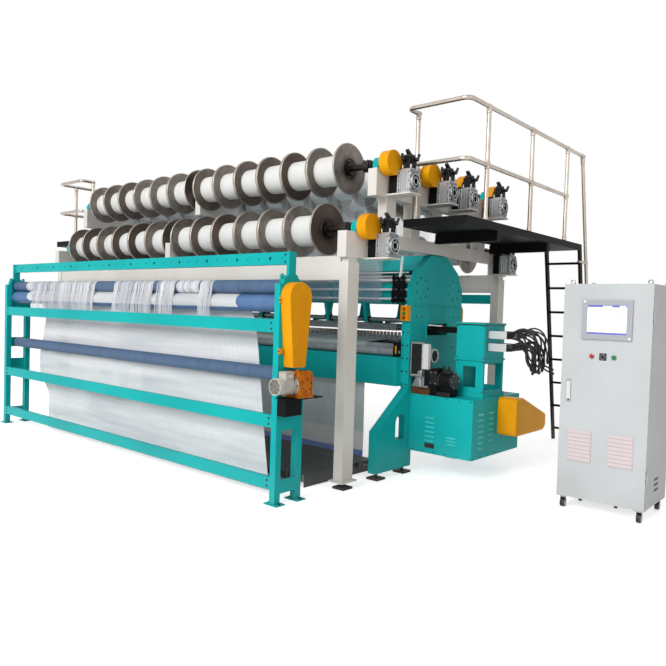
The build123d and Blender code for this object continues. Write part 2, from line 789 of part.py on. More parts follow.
def pattern_drive():
    """Base plate, open stand, pattern box and lid of the pattern drive."""
    y = (-PATTERN_Y, PATTERN_Y)
    x = (STAND_X, STAND_OUT)
    seat = BOX_HIGH + PATTERN_BASE_T
    base = slab((x[0] - LID_OUT, x[1] + LID_OUT), (y[0] - LID_OUT, y[1] + LID_OUT), (BOX_HIGH, seat))
    stand = slab(x, y, (seat, PATTERN_SEAT))
    wall = PATTERN_WALL
    stand -= slab((x[0] + wall, x[1] - wall), (y[0] + wall, y[1] - wall), (seat - CUT_PAST, PATTERN_SEAT - wall))
    middle = (seat + PATTERN_SEAT) / 2
    stand -= slab(about((x[0] + x[1]) / 2, STAND_WINDOW_W), (y[0] - CUT_PAST, y[1] + CUT_PAST),
                  about(middle, STAND_WINDOW_H))
    stand -= slab((x[1] - wall - CUT_PAST, x[1] + CUT_PAST), about(0, SIDE_WINDOW_W), about(middle, SIDE_WINDOW_H))
    box = slab(x, y, (PATTERN_SEAT, PATTERN_HIGH - LID_T))
    for side in (-1, 1):
        for bar in BAR_YS:
            box -= bar_x((x[0] - CUT_PAST, x[0] + wall + 2 * SHOG), side * bar, PUSH_Z, PUSH_D / 2 + SLIDE_GAP)
    lid = slab((x[0] - LID_OUT, x[1] + LID_OUT), (y[0] - LID_OUT, y[1] + LID_OUT), (PATTERN_HIGH - LID_T, PATTERN_HIGH))
    return [base, stand, box, lid]


def actuators():
    """Square linear actuators that stick out of the pattern box."""
    return [slab((STAND_OUT, STAND_OUT + ACTUATOR_L), about(y, ACTUATOR), about(z, ACTUATOR))
            for y in (-ACTUATOR_Y, ACTUATOR_Y) for z in ACTUATOR_ZS]


def take_down_drive():
    """Servo, worm unit, reel and framed panel that drive the take-down rollers."""
    left = END_OUT + PANEL_IN
    right = left + PANEL_W
    face = (BOX_FRONT - PANEL_OUT, BOX_FRONT - PANEL_OUT + PANEL_T)
    panel = slab((left, right), face, (PANEL_LOW, PANEL_HIGH))
    panel -= slab((left + PANEL_RIM, right - PANEL_RIM), (face[0] - CUT_PAST, face[0] + PANEL_SINK),
                  (PANEL_LOW + PANEL_RIM, PANEL_HIGH - PANEL_RIM))
    profile = slab((right, right + PROFILE_W), face, (PROFILE_LOW, PROFILE_HIGH))
    plinth = slab((left, right + PROFILE_W), (face[1], face[1] + SERVO_D), (BOX_HIGH, PLINTH_HIGH))
    carrier = slab((left, right), (face[1], REEL_Y), (PLINTH_HIGH, REEL_Z))
    reel = bar_x((right, right + REEL_T), REEL_Y, REEL_Z, REEL_D / 2)
    reel -= bar_x((right + REEL_T - REEL_SINK, right + REEL_T + CUT_PAST), REEL_Y, REEL_Z, REEL_D / 2 - REEL_RIM)
    gear = (right + PROFILE_W, right + PROFILE_W + SERVO_W)
    middle = face[1] + SERVO_D / 2
    servo = slab(gear, (face[1], face[1] + SERVO_D), (BOX_HIGH, SERVO_HIGH))
    motor = bar_x((gear[1], gear[1] + SERVO_L), middle, SERVO_Z, SERVO_R)
    foot = slab((gear[1], gear[1] + SERVO_L), about(middle, SERVO_FOOT_W), (BOX_HIGH, SERVO_Z))
    return [panel, profile, plinth, carrier, reel, servo, motor + foot]


def button_station():
    """Yellow push-button box on the column, with a collar and a guide bore for each button."""
    box = slab(about(STATION_X, STATION_W), (STATION_FRONT, STATION_FRONT + STATION_D), (STATION_LOW, STATION_HIGH))
    box += bar_y(STATION_X, (STATION_FRONT - STATION_LAMP_L, STATION_FRONT), STATION_LAMP_Z, STATION_LAMP_R)
    for z in STATION_BUTTON_ZS:
        box += bar_y(STATION_X, (STATION_FRONT - COLLAR_T, STATION_FRONT), z, COLLAR_R)
        bore = (STATION_FRONT - COLLAR_T - CUT_PAST, STATION_FRONT + BUTTON_SINK + PRESS + SLIDE_GAP)
        box -= bar_y(STATION_X, bore, z, BUTTON_R + SLIDE_GAP)
    return [box]


def push_button(x, face, z):
    """Button whose body sinks into its bore; the face is that of its collar."""
    return [bar_y(x, (face - BUTTON_L, face + COLLAR_T + BUTTON_SINK), z, BUTTON_R)]


def creel_frame():
    """Creel posts with base plates, cap boxes, long beams and the shelves of the let-off drives."""
    x = (END_IN, END_OUT)
    post_y = (-POST_BACK - POST_D, -POST_BACK)
    out = FOOT_PLATE_OUT
    base = slab((x[0] - out, x[1] + out), (post_y[0] - out, post_y[1] + out), (POST_FOOT_Z - FOOT_PLATE_T, POST_FOOT_Z))
    post = slab(x, post_y, (POST_FOOT_Z, POST_TOP))
    joint = slab((x[0] + JOINT_IN, x[1] - JOINT_IN), (post_y[0] + JOINT_IN, post_y[1] - JOINT_IN), (POST_TOP, CAP_LOW))
    cap = slab(x, (-CAP_OUT, -CAP_IN), (CAP_LOW, LOWER_Z - BLOCK_DROP))
    corners = ends(sides([base, post, joint, cap]))
    beam = slab((-END_IN, END_IN), (-LONG_IN - LONG_T, -LONG_IN), (LONG_LOW, LONG_HIGH))
    middle = slab(about(0, CENTRE_T), (-CAP_OUT, -CAP_IN), (LONG_HIGH, LOWER_Z - BLOCK_DROP))
    shelves = []
    for y, z in ROWS:
        side = -1 if y > 0 else 1
        low, high = sorted((y + side * (GEAR_Y - GEAR_W / 2), y + side * (GEAR_Y + GEAR_W / 2)))
        shelves.append(slab((END_OUT, GEAR_X + GEAR_L), (low, high), (z - LET_CASE_Z - SHELF_T, z - LET_CASE_Z)))
    return corners + sides([beam, middle]) + shelves


def creel_uprights():
    """Portal frames at both ends and the middle that carry the upper rows."""
    parts = []
    for x in ((-END_OUT, -END_IN), about(0, CENTRE_T), (END_IN, END_OUT)):
        parts.append(slab(x, (-CAP_IN, CAP_IN), (CROSS_LOW, CROSS_HIGH)))
        for y in UPRIGHT_YS:
            parts += sides([slab(x, about(-y, UPRIGHT_W), (CROSS_HIGH, TOP_LOW))])
        parts.append(slab(x, (-TOP_Y, TOP_Y), (TOP_LOW, UPPER_Z - BLOCK_DROP)))
    return parts


def let_off_outline(y, z, side, trim):
    """Outline of one let-off guard, drawn smaller by the trim."""
    small = (y + side * LET_SMALL_Y, z - LET_SMALL_Z)
    skirt_w = 2 * (LET_SMALL_R - trim)
    skirt_h = LET_SKIRT_Z - LET_SMALL_Z - trim
    return drop((y, z), LET_BIG_R - trim, small, LET_SMALL_R - trim) \
        + Pos(small[0], small[1] - skirt_h / 2) * Rectangle(skirt_w, skirt_h)


def let_off_guards():
    """Yellow belt guards over the beam pulleys, hollow, with a hole for each shaft."""
    guards = []
    for y, z in ROWS:
        side = -1 if y > 0 else 1
        guard = plate_x((LET_X, LET_X + LET_T), let_off_outline(y, z, side, 0))
        guard -= plate_x((LET_X + LET_WALL, LET_X + LET_T - LET_WALL), let_off_outline(y, z, side, LET_WALL))
        guards.append(guard - bar_x((LET_X - CUT_PAST, LET_X + 2 * LET_WALL), y, z, SHAFT_D / 2 + LET_WALL))
    return guards


def let_off_gearboxes():
    """Aluminium worm gearboxes: plate flange, ribbed body and round output face."""
    boxes = []
    for y, z in ROWS:
        middle = y + GEAR_Y if y < 0 else y - GEAR_Y
        height = (z - LET_CASE_Z, z - GEAR_HIGH)
        body = slab((GEAR_X + GEAR_PLATE_T, GEAR_X + GEAR_L - GEAR_FACE_T), about(middle, GEAR_W - 2 * GEAR_PLATE_T), height)
        body += slab((GEAR_X, GEAR_X + GEAR_PLATE_T), about(middle, GEAR_W), height)
        face_z = (height[0] + height[1]) / 2
        body += bar_x((GEAR_X + GEAR_L - GEAR_FACE_T, GEAR_X + GEAR_L), middle, face_z, GEAR_FACE_R)
        boxes.append(body - bar_x((GEAR_X + GEAR_L - 2 * GEAR_FACE_T, GEAR_X + GEAR_L + CUT_PAST), middle, face_z, GEAR_BORE_R))
    return boxes


def let_off_motors():
    """Black servo motors with their plugs, and the black cases below the guards."""
    parts = []
    for y, z in ROWS:
        side = -1 if y > 0 else 1
        middle = y + side * GEAR_Y
        case_y = about(y + side * LET_SMALL_Y, 2 * LET_SMALL_R)
        parts.append(slab((LET_X, LET_X + LET_T), case_y, (z - LET_CASE_Z, z - LET_SKIRT_Z)))
        x = GEAR_X + GEAR_L / 2
        low = z - GEAR_HIGH
        motor = slab(about(x, MOTOR_W), about(middle, MOTOR_W), (low, low + MOTOR_H))
        plug_z = low + MOTOR_H - 2 * PLUG_R
        out = sorted((middle - side * MOTOR_W / 2, middle - side * (MOTOR_W / 2 + PLUG_L)))
        motor += bar_y(x - PLUG_R, out, plug_z, PLUG_R)
        parts.append(motor + bar_x((x + MOTOR_W / 2, x + MOTOR_W / 2 + PLUG_L), middle, plug_z, PLUG_R))
    return parts


def stile_outline():
    y = RIGHT_DECK_BACK
    return flat([(y, DECK_HIGH), (y + STILE_D, DECK_HIGH), (LADDER_FOOT + STILE_D, 0), (LADDER_FOOT, 0),
                 (y, DECK_HIGH - DECK_T)])


def grab_rail(x, top):
    """Leaning tube from the end of the right top rail to the ladder, with two brackets to the stile."""
    start, end = Vector(x, RIGHT_DECK_BACK - RIGHT_RAIL_IN, top), Vector(x, GRAB_Y, GRAB_LOW)
    along = end - start
    tube = extrude(Plane(origin=start, z_dir=along.normalized()) * Circle(TUBE_D / 2), amount=along.length)
    tube -= bar_y(x, (RIGHT_DECK_FRONT, RIGHT_DECK_BACK + TUBE_D), top, TUBE_D / 2)
    stile = plate_x((DECK_OUT - STILE_W, DECK_OUT), stile_outline())
    for z in GRAB_ZS:
        y = start.Y + along.Y * (top - z) / (top - GRAB_LOW)
        tube += bar_y(x, (RIGHT_DECK_BACK, y), z, RUNG_D / 2) - stile
    return max(tube.solids(), key=lambda solid: solid.volume)


def ladder():
    """Leaning stiles at the back of the right deck with round rungs between them."""
    y, low = RIGHT_DECK_BACK, DECK_HIGH - DECK_T
    stile = stile_outline()
    left = DECK_OUT - LADDER_W
    parts = [plate_x((left, left + STILE_W), stile), plate_x((DECK_OUT - STILE_W, DECK_OUT), stile)]
    for z in spread(RUNGS, 0, low):
        along = (DECK_HIGH - z) / DECK_HIGH
        parts.append(bar_x((left + STILE_W, DECK_OUT - STILE_W), y + along * LADDER_RUN + STILE_D / 2, z, RUNG_D / 2))
    return parts


def platforms():
    """Service decks at both ends on arms from the creel, and the ladder of the right one."""
    notch = LOWER_Y - DECK_NOTCH_Y
    past = GEAR_X + DECK_GAP
    right = slab((past, DECK_OUT), (RIGHT_DECK_FRONT, RIGHT_DECK_BACK), (DECK_HIGH - DECK_T, DECK_HIGH))
    right += slab((DECK_IN, past), (RIGHT_DECK_FRONT, notch), (DECK_HIGH - DECK_T, DECK_HIGH))
    left = slab((-DECK_OUT, -DECK_IN), (-LEFT_DECK_Y, LEFT_DECK_Y), (DECK_HIGH - DECK_T, DECK_HIGH))
    arms = []
    for sign, places in ((1, RIGHT_ARM_YS), (-1, LEFT_ARM_YS)):
        x = sorted((sign * END_OUT, sign * DECK_OUT))
        arms += [slab(x, about(y, DECK_ARM_W), (DECK_ARM_LOW, DECK_HIGH - DECK_T)) for y in places]
    return [right, left] + arms + ladder()


def rail_run(stops, z):
    """Tubes and elbows through level stops of (x, y, cut), where the cut is what each stop takes off a tube."""
    parts = []
    for (x1, y1, cut1), (x2, y2, cut2) in zip(stops, stops[1:]):
        if x1 == x2:
            sign = 1 if y2 > y1 else -1
            parts.append(bar_y(x1, sorted((y1 + sign * cut1, y2 - sign * cut2)), z, TUBE_D / 2))
        else:
            sign = 1 if x2 > x1 else -1
            parts.append(bar_x(sorted((x1 + sign * cut1, x2 - sign * cut2)), y1, z, TUBE_D / 2))
    for (x0, y0, _), (x1, y1, cut), (x2, y2, _) in zip(stops, stops[1:], stops[2:]):
        if cut == TUBE_BEND:
            parts.append(elbow((x0, y0), (x1, y1), (x2, y2), z))
    return parts


def elbow(before, corner, after, z):
    """Quarter bend of a tube round a level corner."""
    back = Vector(*before, z) - Vector(*corner, z)
    on = Vector(*after, z) - Vector(*corner, z)
    start = Vector(*corner, z) + back.normalized() * TUBE_BEND
    centre = start + on.normalized() * TUBE_BEND
    up = (start - centre).cross(back).Z
    section = Plane(origin=start, x_dir=on.normalized(), z_dir=back.normalized()) * Circle(TUBE_D / 2)
    return revolve(section, Axis(centre, (0, 0, -up)), revolution_arc=90)


def handrails():
    """Stainless handrails of both decks: posts, top rails and knee rails."""
    tube = TUBE_D / 2
    parts = []
    for sign, front, back, posts, top, knee in (
            (1, RIGHT_DECK_FRONT, RIGHT_DECK_BACK, RIGHT_POST_YS, RIGHT_RAIL_Z, RIGHT_MID_Z),
            (-1, -LEFT_DECK_Y, LEFT_DECK_Y, LEFT_POST_YS, LEFT_RAIL_Z, LEFT_MID_Z)):
        inset = RIGHT_RAIL_IN if sign > 0 else LEFT_RAIL_IN
        inner, outer = sign * (DECK_IN + inset), sign * (DECK_OUT - inset)
        first, last = front + inset, back - inset
        turn_y = first + RAIL_HOOK_L
        lead = [(inner, turn_y, -tube), (inner, first, TUBE_BEND), (outer, first, TUBE_BEND)]
        parts += rail_run(lead + [(outer, last, -tube)], top)
        lead[0] = (inner, turn_y, tube)
        stops = [(outer, y) for y in posts] + ([(outer, last)] if sign < 0 else [])
        parts += rail_run(lead + [(x, y, tube) for x, y in stops], knee)
        for x, y in [(inner, turn_y)] + stops:
            parts.append(bar_z(x, y, (DECK_HIGH, top - tube), tube))
    parts.append(grab_rail(DECK_OUT - RIGHT_RAIL_IN, RIGHT_RAIL_Z))
    return parts


def stand_frames():
    """Side frames of the take-up stand: posts, foot plates, side plates and the horns for the top rail."""
    x = (STAND_HALF - POST, STAND_HALF)
    front, back = (STAND_FRONT, STAND_FRONT + POST), (STAND_BACK - POST, STAND_BACK)
    parts = []
    for y in (front, back):
        parts.append(slab(x, y, (STAND_FOOT_T, STAND_POST_HIGH)))
        centre_x, centre_y = (x[0] + x[1]) / 2, (y[0] + y[1]) / 2
        foot = slab(about(centre_x, STAND_FOOT_W), about(centre_y, STAND_FOOT_D), (0, STAND_FOOT_T))
        for step in about(centre_x, ANCHOR_STEP):
            foot -= bar_z(step, centre_y, (-CUT_PAST, STAND_FOOT_T + CUT_PAST), ANCHOR_D / 2)
        parts.append(foot)
    inside = (front[1], back[0])
    for z in (SIDE_LOW, SIDE_MID):
        parts.append(slab((STAND_HALF - SIDE_T, STAND_HALF), inside, z))
    bearing = slab((STAND_HALF - SIDE_TOP_T, STAND_HALF), inside, (SIDE_TOP_LOW, STAND_POST_HIGH))
    for z in (TAKE_UP_Z, PRESS_Z):
        bearing -= bar_x((x[0] - CUT_PAST, x[1] + CUT_PAST), ROLLER_Y, z, ROLLER_SHAFT_D / 2 + RUN_GAP)
    guide = slab((STAND_HALF - SIDE_TOP_T, STAND_HALF), inside, about(GUIDE_Z, GUIDE_D))
    guide -= bar_x((x[0] - CUT_PAST, x[1] + CUT_PAST), GUIDE_Y, GUIDE_Z, ROLLER_SHAFT_D / 2 + RUN_GAP)
    base, neck = HORN_BASE_W / 2, HORN_W / 2
    half = [(base, STAND_POST_HIGH), (base, (STAND_POST_HIGH + HORN_BASE_HIGH) / 2), (neck, HORN_BASE_HIGH),
            (neck, TOP_RAIL_Z[1])]
    horn = flat([(ROLLER_Y + y, z) for y, z in half] + [(ROLLER_Y - y, z) for y, z in reversed(half)])
    horn = plate_x((STAND_HALF - SIDE_TOP_T, STAND_HALF), horn)
    return ends(parts + [bearing, guide, horn])


def stand_rails():
    """Three cross rails between the posts and the drilled top rail."""
    inner = STAND_HALF - POST
    rails = [slab((-inner, inner), (STAND_FRONT, STAND_FRONT + RAIL_D), z) for z in RAIL_ZS]
    inner = STAND_HALF - SIDE_TOP_T
    y = about(ROLLER_Y, TOP_RAIL_D)
    top = slab((-inner, inner), y, TOP_RAIL_Z)
    middle = (TOP_RAIL_Z[0] + TOP_RAIL_Z[1]) / 2
    step = 2 * inner / TOP_HOLES
    drills = []
    for x in spread(TOP_HOLES, -inner, inner):
        drills.append(bar_y(x, (y[0] - CUT_PAST, y[0] + HOLE_DEPTH), middle, TOP_HOLE_D / 2))
        drills.append(bar_y(x + step / 3, (y[0] - CUT_PAST, y[0] + HOLE_DEPTH), middle, SMALL_HOLE_D / 2))
        drills.append(bar_y(x - step / 3, (y[0] - CUT_PAST, y[0] + HOLE_DEPTH), middle, SMALL_HOLE_D / 2))
    return rails + [top.cut(*drills)]


def stand_roller(y, z, diameter, out, sprocket):
    """Roller of the stand on its shaft; the driven one has a sprocket in the chain guard."""
    face = STAND_HALF - POST - ROLLER_END
    shaft = ROLLER_SHAFT_D / 2
    steps = [(-STAND_HALF - SHAFT_OUT, -face, shaft), (-face, face, diameter / 2), (face, STAND_HALF + out, shaft)]
    if sprocket:
        steps.append((STAND_HALF + out, STAND_HALF + out + SPROCKET_T, SPROCKET_D / 2))
    return [Pos(0, y, z) * turned(steps)]


def chain_outline(trim):
    """Outline of the chain guard: round head and tapered lower end, smaller by the trim."""
    head, foot = CHAIN_R - trim, CHAIN_LOW_W / 2 - trim
    taper = [(ROLLER_Y - head, CHAIN_Z), (ROLLER_Y + head, CHAIN_Z), (ROLLER_Y + foot, CHAIN_LOW), (ROLLER_Y - foot, CHAIN_LOW)]
    return flat(taper) + Pos(ROLLER_Y, CHAIN_Z) * Circle(head)


def chain_guard():
    """Guard over the take-up chain, open towards the frame and below."""
    guard = plate_x((STAND_HALF, STAND_HALF + CHAIN_T), chain_outline(0))
    inside = plate_x((STAND_HALF, STAND_HALF + CHAIN_T - CHAIN_WALL), chain_outline(CHAIN_WALL))
    return [guard - inside]


def motor_shelf():
    """Black shelf plate on a rib, bolted to the stand."""
    low = SHELF_HIGH - SHELF_PLATE_T
    return [slab((STAND_HALF, STAND_HALF + SHELF_X), (SHELF_FRONT, SHELF_BACK), (low, SHELF_HIGH)),
            slab((STAND_HALF, STAND_HALF + SHELF_RIB_X), (STAND_FRONT, SHELF_RIB_BACK), (SHELF_RIB_LOW, low))]


def take_up_gearbox():
    """Worm gear unit of the take-up drive."""
    x = (STAND_HALF + SIDE_T, STAND_HALF + SIDE_T + GEAR_UNIT_X)
    body = slab(x, (GEAR_UNIT_FRONT, GEAR_UNIT_FRONT + GEAR_UNIT_L), (SHELF_HIGH, GEAR_UNIT_HIGH))
    upper = body.edges().filter_by(Axis.X).group_by(Axis.Z)[-1]
    return [fillet(upper, GEAR_UNIT_ROUND)]


def take_up_motor():
    """Foot-free motor in front of the gear unit: body, fan cover and terminal box."""
    x = STAND_HALF + SIDE_T + GEAR_UNIT_X / 2
    fan = GEAR_UNIT_FRONT - TAKE_MOTOR_L
    motor = bar_y(x, (fan + TAKE_FAN_L, GEAR_UNIT_FRONT), TAKE_MOTOR_Z, TAKE_MOTOR_R)
    motor += bar_y(x, (fan, fan + TAKE_FAN_L), TAKE_MOTOR_Z, TAKE_FAN_R)
    middle = (fan + TAKE_FAN_L + GEAR_UNIT_FRONT) / 2
    motor += slab(about(x, TERMINAL_W), about(middle, TERMINAL_L), (TAKE_MOTOR_Z, TAKE_MOTOR_Z + TAKE_MOTOR_R + TERMINAL_H))
    return [motor]


def knit_fabric():
    """Cloth from the needle bed over the rollers, below the floor plate and up to the take-up roller."""
    wide = (-CLOTH_HALF, CLOTH_HALF)
    low = CLOTH_FLOOR_Z
    inner = DOWN_D / 2 + SOFT_GAP
    start = -NEEDLE_BED_IN - COMB_T - SOFT_GAP
    top = DOWN_Z + inner
    lead = flat([(start, CLOTH_START_Z), (start, CLOTH_START_Z + CLOTH_T), (-DOWN_Y, top + CLOTH_T), (-DOWN_Y, top)])
    over = ring_part((-DOWN_Y, DOWN_Z), inner, inner + CLOTH_T, 90, 90)
    wrap_in = TAKE_UP_D / 2 + SOFT_GAP
    wrap = ring_part((ROLLER_Y, TAKE_UP_Z), wrap_in, wrap_in + CLOTH_T, 0, WRAP_TURN)
    parts = [plate_x(wide, lead), plate_x(wide, over), plate_x(wide, wrap)]
    parts.append(slab(wide, (DOWN_CLOTH, DOWN_CLOTH + CLOTH_T), (low + CLOTH_T, DOWN_Z)))
    parts.append(slab(wide, (WEB_Y, DOWN_CLOTH + CLOTH_T), (low, low + CLOTH_T)))
    parts.append(slab(wide, (WEB_Y, WEB_Y + CLOTH_T), (low + CLOTH_T, TAKE_UP_Z)))
    press = PRESS_D / 2 + SOFT_GAP
    front = ROLLER_Y - press
    bulge = ROLLER_Y - wrap_in - 2 * CLOTH_OFF
    fall = flat([(front, PRESS_Z), (front - CLOTH_T, PRESS_Z), (bulge - CLOTH_T, STRIP_BULGE),
                 (bulge - CLOTH_T, STRIP_LOW), (bulge, STRIP_LOW), (bulge, STRIP_BULGE)])
    cap = ring_part((ROLLER_Y, PRESS_Z), press, press + CLOTH_T, STRIP_BACK_TURN, 180 - STRIP_BACK_TURN)
    for left, width in STRIPS:
        parts += [plate_x((left, left + width), fall), plate_x((left, left + width), cap)]
    return parts


def sheet_between(a, b, x):
    """Thin warp sheet between two points of (y, z)."""
    length = hypot(b[0] - a[0], b[1] - a[1])
    across = ((b[1] - a[1]) / length * SHEET_T / 2, -(b[0] - a[0]) / length * SHEET_T / 2)
    corners = [(a[0] - across[0], a[1] - across[1]), (b[0] - across[0], b[1] - across[1]),
               (b[0] + across[0], b[1] + across[1]), (a[0] + across[0], a[1] + across[1])]
    return plate_x(x, flat(corners))


def leave_point(row, radius, target, way):
    """Point where a straight sheet to the target leaves a package; way -1 is its front side."""
    away = hypot(target[0] - row[0], target[1] - row[1])
    turn = atan2(target[1] - row[1], target[0] - row[0]) + way * acos(radius / away)
    return (row[0] + radius * cos(turn), row[1] + radius * sin(turn))


def warp_sheets():
    """Warp from the front rows down to the yarn rods and from there to the bars; the back mirrors it."""
    radius = YARN_D / 2 + SOFT_GAP + SHEET_T / 2
    off = ROD_D / 2 + SOFT_GAP + SHEET_T / 2
    high = ROD_ZS[-1] + off
    paths = [(ROWS[0], (-ROD_Y - off, high), 1), (ROWS[1], (-ROD_Y + off, high), 1),
             (ROWS[2], (-SHEET_BACK_Y, high), -1)]
    wide = SPOOL_W - 2 * (FLANGE_T + SHEET_END)
    half = (GROUP_GAP / 2 + FLANGE_T + SHEET_END, BEAM_HALF - FLANGE_T - SHEET_END)
    parts = []
    for row, turn, way in paths:
        leave = leave_point(row, radius, turn, way)
        for x in spool_middles():
            parts.append(sheet_between(leave, turn, about(x, wide)))
        lean = abs(turn[0] - leave[0]) / hypot(turn[0] - leave[0], turn[1] - leave[1])
        for x in (half, (-half[1], -half[0])):
            parts.append(slab(x, about(turn[0], SHEET_T), (SHEET_LOW, turn[1] - lean * SHEET_T / 2 - PACK_GAP)))
    return sides(parts)


def floor_plate():
    """Tread plate on skirts that the operator stands on; the cloth runs below it."""
    x, y = (-TREAD_HALF, TREAD_HALF), (TREAD_FRONT, TREAD_BACK)
    low = TREAD_HIGH - TREAD_T
    plate = slab(x, y, (low, TREAD_HIGH))
    ends_of = ends([slab((TREAD_HALF - TREAD_T, TREAD_HALF), y, (0, low))])
    skirts = [slab((x[0] + TREAD_T, x[1] - TREAD_T), edge, (TREAD_SKIRT_LOW, low))
              for edge in ((y[0], y[0] + TREAD_T), (y[1] - TREAD_T, y[1]))]
    hook = slab((TREAD_HALF, END_OUT - LEG_T), about(-LEG_FRONT + HOOK_IN, HOOK_W), (LEG_FOOT_Z, low))
    return [plate] + ends_of + skirts + ends([hook])


def levelling_feet():
    """Pads and screws below the legs of the machine and the posts of the creel."""
    spots = [(END_OUT - LEG_T / 2, -y, LEG_FOOT_Z) for y in LEG_FEET_YS]
    spots.append(((END_IN + END_OUT) / 2, -POST_BACK - POST_D / 2, POST_FOOT_Z - FOOT_PLATE_T))
    feet = []
    for x, y, high in spots:
        feet.append(slab(about(x, PAD), about(y, PAD), (0, PAD_T)) + bar_z(x, y, (PAD_T, high), SCREW_D / 2))
    return ends(sides(feet))


def cabinet_body():
    """Open-fronted cabinet with a mounting plate and gear inside, hinge barrels, side slots and lifting eyes."""
    x, y, z = (CABINET_X, CABINET_OUT), (DOOR_BACK + DOOR_GAP, CABINET_BACK), (CABINET_LOW, CABINET_HIGH)
    wall = CABINET_WALL
    body = slab(x, y, z) - slab((x[0] + wall, x[1] - wall), (y[0] - CUT_PAST, y[1] - wall), (z[0] + wall, z[1] - wall))
    inside = GEAR_PLATE_IN + wall
    extra = [slab((x[0] + inside, x[1] - inside), (y[1] - 2 * wall, y[1] - wall), (z[0] + inside, z[1] - inside))]
    for low in spread(GEAR_ROWS, z[0] + inside, z[1] - inside):
        extra.append(slab((x[0] + 2 * inside, x[1] - 2 * inside), (y[1] - 4 * inside, y[1] - 2 * wall),
                          about(low, 3 * inside)))
    for share in HINGE_Z_SHARES:
        spot = z[0] + share * (z[1] - z[0])
        extra.append(slab((x[1], x[1] + LEAF_T), (y[0], y[0] + LEAF_L), about(spot, HINGE_L)))
        extra.append(bar_z(HINGE_X, HINGE_Y, about(spot, HINGE_L), PIN_R))
        for knuckle in (about(spot - HINGE_L / 3, HINGE_L / 3), about(spot + HINGE_L / 3, HINGE_L / 3)):
            extra.append(bar_z(HINGE_X, HINGE_Y, knuckle, HINGE_R))
            extra.append(slab((HINGE_X - LEAF_T / 2, HINGE_X + LEAF_T / 2), (HINGE_Y, y[0] + LEAF_T), knuckle))
            extra.append(slab((x[1], HINGE_X + LEAF_T / 2), (y[0], y[0] + LEAF_T), knuckle))
    for eye_x in (x[0] + EYE_IN, x[1] - EYE_IN):
        for eye_y in (y[0] + EYE_IN, y[1] - EYE_IN):
            extra.append(Pos(eye_x, eye_y, z[1] + EYE_R) * Rot(90, 0, 0) * Torus(EYE_R, EYE_T))
    body = body.fuse(*extra)
    middle = (y[0] + y[1]) / 2
    for index in range(SIDE_SLOTS):
        slot_z = z[0] + 2 * inside + 2 * index * SIDE_SLOT_H
        body -= slab((x[1] - wall - CUT_PAST, x[1] + CUT_PAST), about(middle, SIDE_SLOT_L), about(slot_z, SIDE_SLOT_H))
    return [body]


def cabinet_door():
    """Door leaf with louvred vent panels and guide bores for the controls."""
    leaf = slab((CABINET_X + DOOR_GAP, CABINET_OUT - DOOR_GAP), (CABINET_FRONT, DOOR_BACK), (CABINET_LOW, CABINET_HIGH))
    lips = []
    for share in VENT_X_SHARES:
        left = CABINET_X + share * CABINET_W
        step = (VENT_Z[1] - VENT_Z[0]) / VENT_SLATS
        lips.append(slab((left, left + VENT_W), (CABINET_FRONT - VENT_T, CABINET_FRONT), VENT_Z))
        for index in range(VENT_SLATS):
            lip = flat([(CABINET_FRONT - VENT_T, VENT_Z[0] + (index + 1) * step),
                        (CABINET_FRONT - 2 * VENT_T, VENT_Z[0] + (index + 1 / 3) * step),
                        (CABINET_FRONT - VENT_T, VENT_Z[0] + (index + 1 / 3) * step)])
            lips.append(plate_x((left + VENT_T, left + VENT_W - VENT_T), lip))
    for share in HINGE_Z_SHARES:
        knuckle = about(CABINET_LOW + share * (CABINET_HIGH - CABINET_LOW), HINGE_L / 3 - 2 * SLIDE_GAP)
        lips.append(slab((CABINET_OUT - 2 * DOOR_GAP, HINGE_X), about(HINGE_Y, LEAF_T), knuckle))
        lips.append(bar_z(HINGE_X, HINGE_Y, knuckle, HINGE_R))
    leaf = leaf.fuse(*lips)
    leaf -= bar_z(HINGE_X, HINGE_Y, (CABINET_LOW, CABINET_HIGH), PIN_R + RUN_GAP)
    for x in CONTROL_XS:
        leaf += bar_y(x, (CABINET_FRONT - COLLAR_T, CABINET_FRONT), CONTROL_Z, COLLAR_R)
        leaf -= bar_y(x, (CABINET_FRONT - COLLAR_T - CUT_PAST, CABINET_FRONT + BUTTON_SINK + PRESS + SLIDE_GAP),
                      CONTROL_Z, BUTTON_R + SLIDE_GAP)
    bore = (CABINET_FRONT - CUT_PAST, CABINET_FRONT + BUTTON_SINK + SLIDE_GAP)
    return [leaf - bar_y(HANDLE_X, bore, HANDLE_Z, PIVOT_R + RUN_GAP)]


def control_panel():
    """Operator panel with a sunk screen, on the door."""
    x = CABINET_X + PANEL_X_SHARE * CABINET_W
    front = CABINET_FRONT - HMI_T
    bezel = slab(about(x, HMI_W), (front, CABINET_FRONT), about(HMI_Z, HMI_H))
    return [bezel - slab(about(x, SCREEN_W), (front - CUT_PAST, front + SCREEN_DEEP), about(HMI_Z, SCREEN_H))]


def door_handle():
    """Lever handle that hangs from its pivot and turns to open the door."""
    grip = slab(about(HANDLE_X, HANDLE_W), (CABINET_FRONT - SLIDE_GAP - HANDLE_T, CABINET_FRONT - SLIDE_GAP),
                (HANDLE_Z - HANDLE_L, HANDLE_Z + HANDLE_W / 2))
    return [grip + bar_y(HANDLE_X, (CABINET_FRONT - SLIDE_GAP, CABINET_FRONT + BUTTON_SINK), HANDLE_Z, PIVOT_R)]


def power_switch():
    """Selector knob: a round body with a grip across it."""
    x = CONTROL_XS[1]
    face = CABINET_FRONT - COLLAR_T
    knob = bar_y(x, (face - BUTTON_L / 2, face + COLLAR_T + BUTTON_SINK), CONTROL_Z, BUTTON_R)
    return [knob + slab(about(x, BUTTON_R / 2), (face - BUTTON_L, face - BUTTON_L / 2), about(CONTROL_Z, 2 * BUTTON_R - COLLAR_T))]


